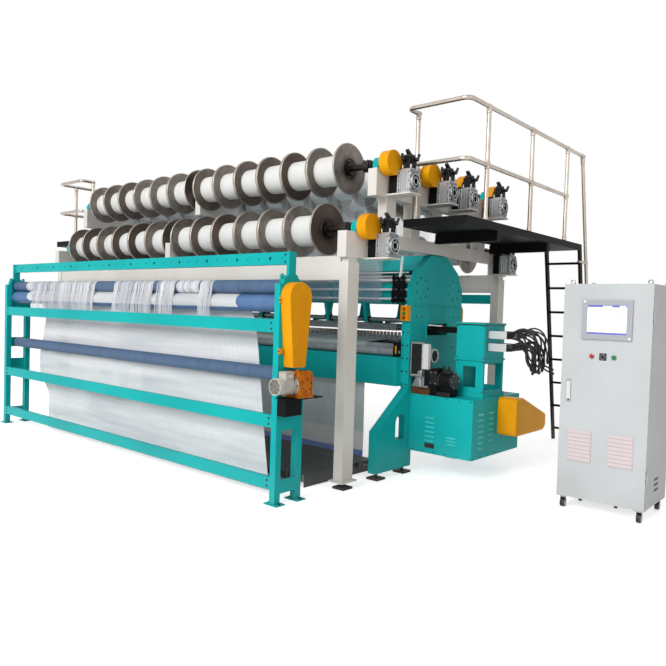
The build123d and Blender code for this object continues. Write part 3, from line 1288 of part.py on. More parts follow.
def casters():
    """Four casters: plate, two cheeks and a wheel each."""
    parts = []
    for x in (CABINET_X + CASTER_IN, CABINET_OUT - CASTER_IN):
        for y in (CABINET_FRONT + CASTER_IN, CABINET_BACK - CASTER_IN):
            under = CABINET_LOW - CASTER_PLATE_T
            parts.append(slab(about(x, CASTER_PLATE), about(y, CASTER_PLATE), (under, CABINET_LOW)))
            for side in (-1, 1):
                inner = x + side * (CASTER_W / 2 + PACK_GAP)
                cheek = sorted((inner, inner + side * CHEEK_T))
                parts.append(slab(cheek, about(y, CHEEK_W), (CASTER_R - CHEEK_W / 2, under)))
            parts.append(bar_x(about(x, CASTER_W), y, CASTER_R, CASTER_R))
    return parts


def cable_path(y, z, steps):
    """Rounded line of one cable from its exit."""
    start = STAND_OUT + ACTUATOR_L
    points = [(start, y, z)] + [(start + out, y, z + up) for out, up in steps]
    reach = [hypot(b[0] - a[0], b[2] - a[2]) for a, b in zip(points, points[1:])]
    bends = []
    for (a, b, c), (one, two) in zip(zip(points, points[1:], points[2:]), zip(reach, reach[1:])):
        turn = abs(atan2(c[2] - b[2], c[0] - b[0]) - atan2(b[2] - a[2], b[0] - a[0]))
        bends.append(min(one, two) / 2 / max(tan(turn / 2), CABLE_R / min(one, two)))
    return FilletPolyline(*points, radius=[bend * BEND_SHARE for bend in bends])


def cables():
    """Loose cables from the actuators, each with its plug hanging free."""
    parts = []
    for y, z, steps in CABLE_ENDS:
        path = cable_path(y, z, steps)
        section = Plane(origin=path @ 0, z_dir=path % 0) * Circle(CABLE_R)
        parts.append(sweep(section, path=path))
        parts.append(extrude(Plane(origin=path @ 1, z_dir=path % 1) * Circle(CABLE_PLUG_R), amount=CABLE_PLUG_L))
    return parts


def pieces():
    """Every piece of the machine under its name."""
    parts = {}
    for index, (y, z) in enumerate(ROWS, start=1):
        parts[f"warp_beam_{index}"] = warp_beam(y, z)
        parts[f"warp_yarn_{index}"] = warp_yarn(y, z)
    parts["bearing_blocks"] = bearing_blocks()
    parts["end_frames"] = end_frames()
    parts["machine_beams"] = machine_beams()
    parts["knitting_bed"] = knitting_bed()
    parts["bar_hangers"] = bar_hangers()
    parts["guide_bars_front"] = guide_bars(-1)
    parts["guide_bars_back"] = guide_bars(1)
    parts["needle_bar_front"] = needle_bar(-1)
    parts["needle_bar_back"] = needle_bar(1)
    parts["take_down_roller_back"] = take_down_roller(-DOWN_Y, DOWN_Z)
    parts["take_down_roller_front"] = take_down_roller(DOWN_FRONT_Y, DOWN_FRONT_Z)
    parts["drive_box"] = drive_box()
    parts["main_guard"] = main_guard()
    parts["pattern_drive"] = pattern_drive()
    parts["actuators"] = actuators()
    parts["cables"] = cables()
    parts["take_down_drive"] = take_down_drive()
    parts["button_station"] = button_station()
    parts["station_stop_button"] = push_button(STATION_X, STATION_FRONT - COLLAR_T, STATION_BUTTON_ZS[0])
    parts["station_start_button"] = push_button(STATION_X, STATION_FRONT - COLLAR_T, STATION_BUTTON_ZS[1])
    parts["creel_frame"] = creel_frame()
    parts["creel_uprights"] = creel_uprights()
    parts["let_off_guards"] = let_off_guards()
    parts["let_off_gearboxes"] = let_off_gearboxes()
    parts["let_off_motors"] = let_off_motors()
    parts["platforms"] = platforms()
    parts["handrails"] = handrails()
    parts["stand_frames"] = stand_frames()
    parts["stand_rails"] = stand_rails()
    parts["press_roller"] = stand_roller(ROLLER_Y, PRESS_Z, PRESS_D, SHAFT_OUT, False)
    parts["take_up_roller"] = stand_roller(ROLLER_Y, TAKE_UP_Z, TAKE_UP_D, SPROCKET_OUT, True)
    parts["guide_roller"] = stand_roller(GUIDE_Y, GUIDE_Z, GUIDE_D, SHAFT_OUT, False)
    parts["chain_guard"] = chain_guard()
    parts["motor_shelf"] = motor_shelf()
    parts["take_up_gearbox"] = take_up_gearbox()
    parts["take_up_motor"] = take_up_motor()
    parts["knit_fabric"] = knit_fabric()
    parts["warp_sheets"] = warp_sheets()
    parts["floor_plate"] = floor_plate()
    parts["levelling_feet"] = levelling_feet()
    parts["cabinet_body"] = cabinet_body()
    parts["cabinet_door"] = cabinet_door()
    parts["control_panel"] = control_panel()
    parts["door_handle"] = door_handle()
    parts["stop_button"] = push_button(CONTROL_XS[0], CABINET_FRONT - COLLAR_T, CONTROL_Z)
    parts["power_switch"] = power_switch()
    parts["start_button"] = push_button(CONTROL_XS[2], CABINET_FRONT - COLLAR_T, CONTROL_Z)
    parts["casters"] = casters()
    return parts


def main():
    os.makedirs("parts", exist_ok=True)
    for name, shapes in pieces().items():
        solids = [solid for shape in shapes for solid in shape.solids()]
        placed = Pos(-ORIGIN_X, -ORIGIN_Y, 0) * Compound(children=solids)
        export_step(placed, f"parts/{name}.step")


if __name__ == "__main__":
    main()
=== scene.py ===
import math
import random

import bpy
from mathutils import Matrix, Vector, noise


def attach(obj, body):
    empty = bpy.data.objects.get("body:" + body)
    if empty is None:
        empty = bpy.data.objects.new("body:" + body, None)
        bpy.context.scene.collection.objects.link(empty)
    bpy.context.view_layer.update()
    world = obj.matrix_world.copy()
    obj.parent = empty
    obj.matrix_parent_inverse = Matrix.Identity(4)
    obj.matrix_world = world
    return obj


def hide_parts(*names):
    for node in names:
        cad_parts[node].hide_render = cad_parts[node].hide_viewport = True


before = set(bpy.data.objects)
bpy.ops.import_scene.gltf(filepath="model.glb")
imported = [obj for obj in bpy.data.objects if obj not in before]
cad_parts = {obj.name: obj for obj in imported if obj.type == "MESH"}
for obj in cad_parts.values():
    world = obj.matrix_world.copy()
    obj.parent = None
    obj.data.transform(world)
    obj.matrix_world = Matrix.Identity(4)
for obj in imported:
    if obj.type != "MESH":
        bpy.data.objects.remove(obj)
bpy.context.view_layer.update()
random.seed(11)
shared = {"midX": 777.2, "midY": 98.5}  # the shared origin on the machine, mm


def at(x, y, z):  # machine millimetres to metres in the shared frame
    return Vector((x - shared["midX"], y - shared["midY"], z)) / 1000


def dropPick():
    if bpy.context.object and bpy.context.object.mode != "OBJECT":
        bpy.ops.object.mode_set(mode="OBJECT")
    bpy.ops.object.select_all(action="DESELECT")


def pick(*pieces):
    dropPick()
    for piece in pieces:
        piece.select_set(True)
    bpy.context.view_layer.objects.active = pieces[0]


def freeze():  # place, turn and size go into the mesh
    bpy.ops.object.transform_apply(location=True, rotation=True, scale=True)
    return bpy.context.object


def modify(piece, kind, **settings):
    pick(piece)
    bpy.ops.object.modifier_add(type=kind)
    step = piece.modifiers[-1]
    for key, value in settings.items():
        setattr(step, key, value)
    bpy.ops.object.modifier_apply(modifier=step.name)
    return piece


def soften(piece, edge, segments=1):
    return modify(piece, "BEVEL", width=edge / 1000, segments=segments,
                  limit_method="ANGLE", angle_limit=math.radians(40))


def block(low, high, edge=2):
    dropPick()
    a, b = at(*low), at(*high)
    bpy.ops.mesh.primitive_cube_add(size=1, location=(a + b) / 2)
    bpy.context.object.scale = [abs(d) for d in b - a]
    piece = freeze()
    return soften(piece, edge) if edge else piece


def rod(start, end, radius, sides=20, edge=0, tip=None):
    dropPick()
    a, b = at(*start), at(*end)
    turn = (b - a).to_track_quat("Z", "Y").to_euler()
    bpy.ops.mesh.primitive_cone_add(vertices=sides, radius1=radius / 1000, depth=(b - a).length,
                                    radius2=(radius if tip is None else tip) / 1000,
                                    location=(a + b) / 2, rotation=turn)
    piece = freeze()
    return soften(piece, edge) if edge else piece


def ring(centre, axis, radius, tube, sides=40, round=8):
    dropPick()
    turn = Vector(axis).to_track_quat("Z", "Y").to_euler()
    bpy.ops.mesh.primitive_torus_add(major_radius=radius / 1000, minor_radius=tube / 1000, location=at(*centre),
                                     rotation=turn, major_segments=sides, minor_segments=round)
    return freeze()


def pickFaces(piece, test):
    pick(piece)
    bpy.ops.object.mode_set(mode="EDIT")
    bpy.ops.mesh.select_mode(type="FACE")
    bpy.ops.mesh.select_all(action="DESELECT")
    bpy.ops.object.mode_set(mode="OBJECT")
    for face in piece.data.polygons:
        face.select = test(face)
    bpy.ops.object.mode_set(mode="EDIT")


def recess(piece, test, rim, depth):  # sinks a face behind a rim, or raises it
    pickFaces(piece, test)
    bpy.ops.mesh.inset(thickness=rim / 1000)
    bpy.ops.mesh.inset(thickness=0.0003, depth=depth / 1000)
    bpy.ops.object.mode_set(mode="OBJECT")
    return piece


def join(pieces):
    pick(*pieces)
    if len(pieces) > 1:
        bpy.ops.object.join()
    return freeze()


def twin(piece, place):
    made = piece.copy()
    made.data = piece.data.copy()
    made.matrix_world = place
    bpy.context.scene.collection.objects.link(made)
    return made


def copies(piece, places):  # every copy has its own mesh
    made = [twin(piece, place) for place in places]
    bpy.data.objects.remove(piece)
    return join(made)


def shift(x, y, z):
    return Matrix.Translation(Vector((x, y, z)) / 1000)


def facing(spot, way, size=1.0):
    turn = Vector(way).to_track_quat("Z", "Y").to_matrix().to_4x4()
    return Matrix.Translation(at(*spot)) @ turn @ Matrix.Scale(size, 4)


def settle(piece, name, look=None, body="machine", smooth=35):
    pick(piece)
    freeze()
    bpy.ops.object.shade_smooth_by_angle(angle=math.radians(smooth))
    piece.name = piece.data.name = name
    if look:
        piece.data.materials.clear()
        piece.data.materials.append(look)
    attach(piece, body)
    return piece


def mesh(name, points, faces):
    data = bpy.data.meshes.new(name)
    data.from_pydata(points, [], faces)
    data.update()
    piece = bpy.data.objects.new(name, data)
    bpy.context.scene.collection.objects.link(piece)
    return piece


def quads(rows, columns, closed=False):  # faces of a grid of points, row by row
    wide = columns if closed else columns + 1
    return [(j * wide + i, j * wide + (i + 1) % wide, (j + 1) * wide + (i + 1) % wide, (j + 1) * wide + i)
            for j in range(rows) for i in range(columns)]


def around(count, radius, start=0.0):  # places on a circle
    turns = [start + 2 * math.pi * step / count for step in range(count)]
    return [(radius * math.cos(turn), radius * math.sin(turn)) for turn in turns]


def about(piece, heart, change):  # turns, flattens or shears a mesh about a point
    piece.data.transform(Matrix.Translation(heart) @ change @ Matrix.Translation(-heart))
    return piece


def fins(count, gap, heart, axis, way, low, high):  # fins round a motor, none where its box sits
    turns = [2 * math.pi * step / count for step in range(count)]
    return [about(block(low, high, 0.6), heart, Matrix.Rotation(way * turn, 4, axis)) for turn in turns
            if not gap[0] < turn < gap[1]]


# Camera where the photograph was taken
view = {"spot": (5.5428, -6.0735, 1.60), "lens": 35.755, "right": (0.7569, 0.6528, 0.0314),
        "up": (-0.0463, 0.0057, 0.9989), "ahead": (-0.6519, 0.7575, -0.0346)}
dropPick()
bpy.ops.object.camera_add()
camera = bpy.context.object
turned = Matrix((view["right"], view["up"], [-d for d in view["ahead"]])).transposed().to_4x4()
camera.matrix_world = Matrix.Translation(view["spot"]) @ turned
camera.data.lens = view["lens"]
camera.data.sensor_width = 36
camera.data.clip_end = 200
bpy.context.scene.camera = camera
bpy.context.scene.view_settings.view_transform = "Standard"
print("camera placed")


# Finishes
def tint(code):  # sRGB hex to linear
    parts = [int(code[i:i + 2], 16) / 255 for i in (1, 3, 5)]
    return [c / 12.92 if c <= 0.04045 else ((c + 0.055) / 1.055) ** 2.4 for c in parts] + [1]


def add(tree, kind, links=None, out=0, **settings):  # makes a node and gives one of its outputs
    made = tree.nodes.new("ShaderNode" + kind)
    for key, value in settings.items():
        setattr(made, key, value)
    for key, source in (links or {}).items():
        if isinstance(source, bpy.types.NodeSocket):
            tree.links.new(source, made.inputs[key])
        else:
            made.inputs[key].default_value = source
    return made.outputs[out]


def wire(node, name, source):
    node.id_data.links.new(source, node.inputs[name])


def per(mm):  # noise scale for features of this size
    return 1000 / mm


def wave(mm):  # wave scale for a repeat of this size
    return 1000 * 2 * math.pi / 20 / mm


def finish(name, colour, rough, metal=0.0, ior=1.5):
    made = bpy.data.materials.new(name)
    made.use_nodes = True
    tree = made.node_tree
    skin = tree.nodes["Principled BSDF"]
    skin.inputs["Base Color"].default_value = tint(colour)
    skin.inputs["Roughness"].default_value = rough
    skin.inputs["Metallic"].default_value = metal
    if not metal:
        skin.inputs["IOR"].default_value = ior
    where = add(tree, "TexCoord", out="Object")
    return made, tree, skin, where


def bump(tree, skin, height, deep, strength=1.0):  # deep in mm
    wire(skin, "Normal", add(tree, "Bump", {"Height": height, "Distance": deep / 1000, "Strength": strength}))


def enamel(name, look):  # sprayed enamel: even colour, soft gloss, orange peel, chips and floor dust
    made, tree, skin, where = finish(name, look["colour"], look["rough"])
    skin.inputs["Specular IOR Level"].default_value = look.get("shine", 0.08)
    cloud = add(tree, "TexNoise", {"Vector": where, "Scale": per(look["cloud"]), "Detail": 4.0})
    tone = add(tree, "MapRange", {"Value": cloud, "From Min": 0.35, "From Max": 0.7})
    base = add(tree, "MixRGB", {"Fac": tone, "Color1": tint(look["colour"]),
                                "Color2": tint(look["shade"])})
    speck = add(tree, "TexNoise", {"Vector": where, "Scale": per(look["chip"]), "Detail": 6.0, "Roughness": 0.7})
    chip = add(tree, "MapRange", {"Value": speck, "From Min": 0.72, "From Max": 0.76, "To Max": 0.55})
    worn = add(tree, "MixRGB", {"Fac": chip, "Color1": base,
                                "Color2": tint(look["under"])})
    height = add(tree, "SeparateXYZ", {"Vector": where}, "Z")
    low = add(tree, "MapRange", {"Value": height, "From Max": look["dustTo"] / 1000,
                                 "To Min": look["dust"], "To Max": 0.0})
    patchy = add(tree, "Math", {0: low, 1: cloud}, operation="MULTIPLY")
    dusty = add(tree, "MixRGB", {"Fac": patchy, "Color1": worn,
                                 "Color2": tint("#9A948A")})
    wire(skin, "Base Color", dusty)
    gloss = add(tree, "MapRange", {"Value": speck, "To Min": look["rough"] - 0.08,
                                   "To Max": look["rough"] + 0.14})
    wire(skin, "Roughness", gloss)
    peel = add(tree, "TexNoise", {"Vector": where, "Scale": per(look["peel"]), "Detail": 2.0})
    bump(tree, skin, peel, 0.4, look["grain"])
    return made


# the sloped louvre lips get a lighter teal than the panels: painted highlight; their higher gloss is real
tealLipHighlight = enamel("glossy teal enamel on pressed louvres", {
    "colour": "#3CCAC7", "shade": "#2FBDBA", "under": "#0E5F5B", "rough": 0.26, "cloud": 200, "chip": 20, "dust":
    0.1, "dustTo": 420, "peel": 9, "grain": 0.12, "shine": 0.5})
teal = enamel("sprayed teal enamel", {
    "colour": "#17B4B3", "shade": "#13A6A7", "under": "#0E5F5B", "rough": 0.36, "cloud": 700, "chip": 26, "dust":
    0.16, "dustTo": 420, "peel": 9, "grain": 0.12})
cream = enamel("sprayed cream enamel", {
    "colour": "#E6E2DC", "shade": "#DCD7CF", "under": "#8C867C", "rough": 0.38, "cloud": 600, "chip": 24, "dust":
    0.6, "dustTo": 500, "peel": 9, "grain": 0.1})
yellow = enamel("sprayed guard-yellow enamel", {
    "colour": "#F2A912", "shade": "#E9990F", "under": "#7A5410", "rough": 0.34, "cloud": 300, "chip": 18, "dust":
    0.08, "dustTo": 700, "peel": 8, "grain": 0.12})
orange = enamel("orange gear-unit enamel", {
    "colour": "#D67C1C", "shade": "#B4600F", "under": "#4A2A0C", "rough": 0.3, "cloud": 60, "chip": 9, "dust": 0.3,
    "dustTo": 1100, "peel": 7, "grain": 0.3})
motorGrey = enamel("beige-grey motor enamel", {
    "colour": "#CFCAC2", "shade": "#B8B2A8", "under": "#5A564F", "rough": 0.42, "cloud": 80, "chip": 10, "dust":
    0.4, "dustTo": 1100, "peel": 6, "grain": 0.25})
cabinetGrey = enamel("light grey textured powder coat", {
    "colour": "#CCD0D2", "shade": "#C4C8CA", "under": "#9A9EA0", "rough": 0.46, "cloud": 500, "chip": 12, "dust":
    0.5, "dustTo": 400, "peel": 4, "grain": 0.2})
black = enamel("black powder coat", {
    "colour": "#101112", "shade": "#161718", "under": "#45433F", "rough": 0.5, "cloud": 300, "chip": 20, "dust":
    0.5, "dustTo": 500, "peel": 5, "grain": 0.3})
whiteRod = enamel("white painted rod", {
    "colour": "#EEF1F3", "shade": "#E2E7EB", "under": "#A8ADB2", "rough": 0.3, "cloud": 300, "chip": 16, "dust":
    0.0, "dustTo": 100, "peel": 6, "grain": 0.1})


def streaked(base, colour, dark, grain, along, detail, span, gloss, deep, strength):  # marks stretched along an axis
    made, tree, skin, where = base
    stretch = add(tree, "Mapping", {"Vector": where, "Scale": along})
    streak = add(tree, "TexNoise", {"Vector": stretch, "Scale": per(grain), "Detail": detail, "Roughness": 0.65})
    tone = add(tree, "MapRange", {"Value": streak, "From Min": span[0], "From Max": span[1]})
    wire(skin, "Base Color", add(tree, "MixRGB", {"Fac": tone, "Color1": tint(dark), "Color2": tint(colour)}))
    wire(skin, "Roughness", add(tree, "MapRange", {"Value": streak, "To Min": gloss[0], "To Max": gloss[1]}))
    bump(tree, skin, streak, deep, strength)
    return made


def metal(name, colour, dark, rough, grain, along, deep=0.1):  # drawn, ground or cast metal; grain in mm
    return streaked(finish(name, colour, rough, 1.0), colour, dark, grain, along, 5.0, (0.3, 0.72),
                    (rough + 0.12, rough - 0.08), deep, 0.4)


stainless = metal("polished stainless tube", "#C9C0B6", "#A89C90", 0.3, 90, (0.3, 0.3, 0.3), 0.02)
steel = metal("ground steel", "#C2C4C6", "#8E9194", 0.32, 12, (0.1, 1, 1))
darkSteel = metal("oiled dark steel", "#4A4744", "#2C2A29", 0.4, 10, (0.2, 1, 1))
aluminium = metal("cast aluminium", "#C6C8CA", "#9A9DA0", 0.42, 9, (1, 1, 1), 0.5)
extruded = metal("clear anodised extrusion", "#E3E5E6", "#CDD0D2", 0.36, 8, (0.05, 1, 1))
brass = metal("brass needle heads", "#B8A27A", "#7E6C4C", 0.34, 6, (1, 1, 1))
zinc = metal("zinc-plated fasteners", "#B9BBBC", "#84878A", 0.36, 5, (1, 1, 1))
blackOxide = metal("black-oxide cap screws", "#5E5B58", "#383634", 0.42, 5, (1, 1, 1))
# a darker copy of the cast aluminium for the gearbox faces that look to +X: painted shade
castingShadedFace = metal("cast aluminium, darker face for painted shade", "#9A9B9D", "#5C5D5F", 0.44, 14, (1, 1, 1), 0.5)
# rim beads and flange edges are real geometry; their lighter colour than the flange face is a painted highlight
rimMetalHighlight = metal("turned flange rim, lighter for a painted highlight", "#CBC3BA", "#8E857D", 0.36, 7, (1, 1, 1))


def turnedFlange(row, y, z):  # dull turned aluminium: brown-grey with tool rings about the row's axis
    made, tree, skin, where = finish(f"dull turned aluminium {row}", "#6A5F58", 0.46, 0.8)
    heart = at(0, y, z)
    centred = add(tree, "Mapping", {"Vector": where, "Location": (0, -heart.y, -heart.z), "Scale": (0, 1, 1)})
    tool = add(tree, "TexWave", {"Vector": centred, "Scale": wave(9), "Distortion": 1.2, "Detail": 3.0,
                                 "Detail Scale": 2.0}, wave_type="RINGS", rings_direction="X")
    stain = add(tree, "TexNoise", {"Vector": where, "Scale": per(70), "Detail": 5.0, "Roughness": 0.6})
    far = add(tree, "VectorMath", {0: centred}, "Value", operation="LENGTH")
    out = add(tree, "MapRange", {"Value": far, "From Min": 0.06, "From Max": 0.15})
    along = add(tree, "Mapping", {"Vector": where, "Location": (0, row * 3.7, 0), "Scale": (1, 0, 0)})
    each = add(tree, "TexNoise", {"Vector": along, "Scale": per(330), "Detail": 0.0})
    tone = add(tree, "MapRange", {"Value": each, "From Min": 0.36, "From Max": 0.64})
    light = add(tree, "MixRGB", {"Fac": tone, "Color1": tint("#66574E"), "Color2": tint("#AAA39C")})
    face = add(tree, "MixRGB", {"Fac": stain, "Color1": tint("#4B423E"), "Color2": light})
    grown = add(tree, "MixRGB", {"Fac": out, "Color1": tint("#2B2624"), "Color2": face})
    lined = add(tree, "MixRGB", {"Fac": 0.22, "Color1": grown, "Color2": tool}, blend_type="OVERLAY")
    wire(skin, "Base Color", lined)
    gloss = add(tree, "MapRange", {"Value": stain, "To Min": 0.36, "To Max": 0.6})
    wire(skin, "Roughness", gloss)
    bump(tree, skin, tool.node.outputs["Fac"], 0.25, 0.5)
    spin = add(tree, "Tangent", direction_type="RADIAL", axis="X")
    wire(skin, "Tangent", spin)
    skin.inputs["Anisotropic"].default_value = 0.7
    return made


def woundYarn():  # white filament wound side by side: fine turns, drawn 5 mm apart so that they show
    made, tree, skin, where = finish("wound white filament yarn", "#F3F2EE", 0.62)
    turns = add(tree, "TexWave", {"Vector": where, "Scale": wave(5), "Distortion": 0.6, "Detail": 2.0}, bands_direction="X")
    squeeze = add(tree, "Mapping", {"Vector": where, "Scale": (1, 0.02, 0.02)})
    band = add(tree, "TexNoise", {"Vector": squeeze, "Scale": per(38), "Detail": 4.0})
    tone = add(tree, "MixRGB", {"Fac": band, "Color1": tint("#E2E2DF"), "Color2": tint("#FAF9F6")})
    lined = add(tree, "MixRGB", {"Fac": 0.1, "Color1": tone, "Color2": turns}, blend_type="MULTIPLY")
    wire(skin, "Base Color", lined)
    skin.inputs["Sheen Weight"].default_value = 0.15
    bump(tree, skin, turns.node.outputs["Fac"], 0.6, 0.5)
    return made


def threadLook(name, colour, dark):  # bright filament threads with a slight sheen
    made, tree, skin, where = finish(name, colour, 0.45)
    vary = add(tree, "TexNoise", {"Vector": where, "Scale": per(45), "Detail": 3.0})
    tone = add(tree, "MixRGB", {"Fac": vary, "Color1": tint(dark), "Color2": tint(colour)})
    wire(skin, "Base Color", tone)
    skin.inputs["Sheen Weight"].default_value = 0.2
    return made


def knitNet(name, look):  # warp-knit net: wales drawn coarse so that they show, open enough to see through a little, darker in its folds as painted shade
    made, tree, skin, where = finish(name, look["colour"], 0.75)
    wales = add(tree, "TexWave", {"Vector": where, "Scale": wave(look["wale"]), "Distortion": 0.8,
                                  "Detail": 2.0}, bands_direction="X")
    squeeze = add(tree, "Mapping", {"Vector": where, "Scale": look["foldShade"]})
    # fold noise mixes towards the shade colour: painted shade in the folds; it also thins the net
    foldShade = add(tree, "TexNoise", {"Vector": squeeze, "Scale": per(420), "Detail": 5.0, "Roughness": 0.6})
    tone = add(tree, "MapRange", {"Value": foldShade, "From Min": 0.32, "From Max": 0.66})
    base = add(tree, "MixRGB", {"Fac": tone, "Color1": tint(look["shade"]), "Color2": tint(look["colour"])})
    lined = add(tree, "MixRGB", {"Fac": 0.05, "Color1": base, "Color2": wales}, blend_type="MULTIPLY")
    colour = lined
    if look.get("hem"):  # whiter foot of the web with a blue selvedge
        height = add(tree, "SeparateXYZ", {"Vector": where}, "Z")
        foot = add(tree, "MapRange", {"Value": height, "From Min": 0.315, "From Max": 0.34, "To Min": 1.0, "To Max": 0.0})
        edge = add(tree, "MapRange", {"Value": height, "From Min": 0.12, "From Max": 0.135, "To Min": 1.0, "To Max": 0.0})
        pale = add(tree, "MixRGB", {"Fac": foot, "Color1": colour, "Color2": tint("#F0EEEA")})
        colour = add(tree, "MixRGB", {"Fac": edge, "Color1": pale,
                                      "Color2": tint("#5A86D8")})
    wire(skin, "Base Color", colour)
    loose = add(tree, "Math", {0: wales.node.outputs["Fac"], 1: tone}, operation="MULTIPLY")
    holes = add(tree, "MapRange", {"Value": loose, "To Min": look["thin"], "To Max": look["thick"]})
    wire(skin, "Alpha", holes)
    bump(tree, skin, wales.node.outputs["Fac"], 1.0, 0.4)
    return made


def rubber(name, colour, shade, rough):  # ground rubber covering: matt, with scuffs along the turn
    return streaked(finish(name, colour, rough, ior=1.45), colour, shade, 50, (1, 0.15, 0.15), 6.0, (0.35, 0.7),
                    (rough - 0.12, rough + 0.12), 0.3, 0.3)


def treadPlate():  # black-painted chequer plate: raised bars both ways, rubbed grey on top
    made, tree, skin, where = finish("black chequer plate", "#3A3C3B", 0.5)
    bars = []
    for way in (0.785, -0.785):
        turn = add(tree, "Mapping", {"Vector": where, "Rotation": (0, 0, way)})
        bars.append(add(tree, "TexWave", {"Vector": turn, "Scale": wave(36)}, "Fac", bands_direction="X"))
    lugs = add(tree, "Math", {0: bars[0], 1: bars[1]}, operation="MULTIPLY")
    top = add(tree, "MapRange", {"Value": lugs, "From Min": 0.55, "From Max": 0.75})
    rub = add(tree, "TexNoise", {"Vector": where, "Scale": per(260), "Detail": 6.0})
    show = add(tree, "Math", {0: top, 1: rub}, operation="MULTIPLY")
    base = add(tree, "MixRGB", {"Fac": rub, "Color1": tint("#262827"), "Color2": tint("#4B4D4B")})
    worn = add(tree, "MixRGB", {"Fac": show, "Color1": base, "Color2": tint("#8D8F8D")})
    wire(skin, "Base Color", worn)
    bump(tree, skin, top, 2, 0.7)
    return made


def plastic(name, colour, shade, rough, glow=0.0):  # moulded plastic: fine spark texture
    made, tree, skin, where = finish(name, colour, rough, ior=1.46)
    spark = add(tree, "TexNoise", {"Vector": where, "Scale": per(6), "Detail": 3.0})
    base = add(tree, "MixRGB", {"Fac": spark, "Color1": tint(shade), "Color2": tint(colour)})
    wire(skin, "Base Color", base)
    if glow:
        skin.inputs["Emission Color"].default_value = tint(colour)
        skin.inputs["Emission Strength"].default_value = glow
    bump(tree, skin, spark, 0.1, 0.3)
    return made


yarn = woundYarn()
thread = threadLook("stretched white threads", "#EEF1F5", "#CBD3DC")
# the same white yarn where it runs down into the guides, coloured bluish grey: painted shade
threadInShade = threadLook("yarn in the guides, bluish in shade", "#A9BFD2", "#5F7F9E")
net = knitNet("white warp-knit net", {
    "colour": "#F2F2F4", "shade": "#D8DBDF", "wale": 17, "foldShade": (0.22, 1, 3.2), "thin": 0.72, "thick": 0.95})
# the same white net inside the machine, greyer and teal-tinted: painted shade and painted teal bounce light
hemNetShaded = knitNet("white warp-knit net, machine side", {
    "colour": "#DCE6E6", "shade": "#B9CFCE", "wale": 17, "foldShade": (0.5, 1, 0.6), "thin": 0.76, "thick": 0.9, "hem":
    True})
# the strips are shaded towards lilac grey: painted shade in their folds
stripNet = knitNet("loose net strips", {
    "colour": "#F4F4F6", "shade": "#C3C5D0", "wale": 14, "foldShade": (9, 1, 0.4), "thin": 0.68, "thick": 0.97})
blueRubber = rubber("slate-blue rubber covering", "#5A7CA8", "#496A96", 0.5)
slateRubber = rubber("dull slate rubber covering", "#4F6888", "#3F5877", 0.55)
greyRubber = rubber("grey friction covering", "#A7ADB3", "#868D94", 0.5)
cableRubber = rubber("black cable jacket", "#1B1B1C", "#101011", 0.45)
chequer = treadPlate()
blackPlastic = plastic("black moulded plastic", "#1A1A1B", "#121213", 0.42)
redPlastic = plastic("red moulded cap", "#C4231F", "#A81A17", 0.3)
greenPlastic = plastic("green moulded cap", "#23934A", "#177338", 0.3)
bezelPlastic = plastic("grey moulded bezel", "#B3B3BA", "#A5A5AD", 0.45)
palePlastic = plastic("pale moulded plastic", "#E8E6E4", "#DCDAD8", 0.45)
louvrePlastic = plastic("rose-grey moulded louvres", "#D9CDCE", "#C9BCBE", 0.5)
screenWhite = plastic("lit screen, pale field", "#F3F5FB", "#EEF1F9", 0.15, 0.35)
screenBlue = plastic("lit screen, blue bar", "#6C74BE", "#636BB4", 0.15, 0.25)
screenGrey = plastic("lit screen, grey field", "#C9CDD8", "#C0C4D0", 0.15, 0.2)
darkHole = plastic("unlit hollow", "#0B0C0C", "#080909", 0.8)
print("finishes ready")

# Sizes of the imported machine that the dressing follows, mm
rows = ((-1315, 2350), (-1025, 2965), (-340, 2965), (340, 2965), (1025, 2965), (1315, 2350))
machine = {"beamHalf": 2208.6, "spool": 355.6, "groupGap": 150, "flange": 13, "flangeR": 245, "gearX": 2740.6,
           "gearL": 150, "rollerY": -2105}


def dress(name, *looks, choose=None):
    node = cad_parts[name]
    node.data.materials.clear()
    for look in looks:
        node.data.materials.append(look)
    if choose:
        for face in node.data.polygons:
            c = face.center * 1000
            spot = Vector((c.x + shared["midX"], c.y + shared["midY"], c.z))
            face.material_index = choose(spot, face.normal)


def beamFace(y, z):
    def choose(spot, normal):
        away = math.hypot(spot.y - y, spot.z - z)
        if abs(normal.x) > 0.9:
            return 0 if away > 67 else 1
        return 2 if away > 235 else 1
    return choose


for index, (y, z) in enumerate(rows, start=1):
    dress(f"warp_beam_{index}", turnedFlange(index, y, z), darkSteel, rimMetalHighlight, choose=beamFace(y, z))
    dress(f"warp_yarn_{index}", yarn)
for name, look in {
        "end_frames": teal, "machine_beams": teal, "bar_hangers": teal, "main_guard": yellow,
        "guide_bars_front": steel, "guide_bars_back": steel, "take_down_roller_back": greyRubber,
        "take_down_roller_front": greyRubber,
        "actuators": extruded, "station_stop_button": redPlastic, "station_start_button": greenPlastic,
        "creel_frame": cream, "creel_uprights": cream, "let_off_motors": black, "platforms": black,
        "handrails": stainless, "stand_frames": teal, "stand_rails": teal, "chain_guard": yellow, "motor_shelf": black,
        "take_up_gearbox": orange, "take_up_motor": motorGrey, "floor_plate": chequer, "levelling_feet": black,
        "door_handle": palePlastic, "stop_button": redPlastic, "power_switch": blackPlastic,
        "start_button": greenPlastic}.items():
    dress(name, look)


def rollerFace(y, z, radius):
    return lambda spot, normal: 0 if math.hypot(spot.y - y, spot.z - z) > radius * 0.9 and abs(normal.x) < 0.5 else 1


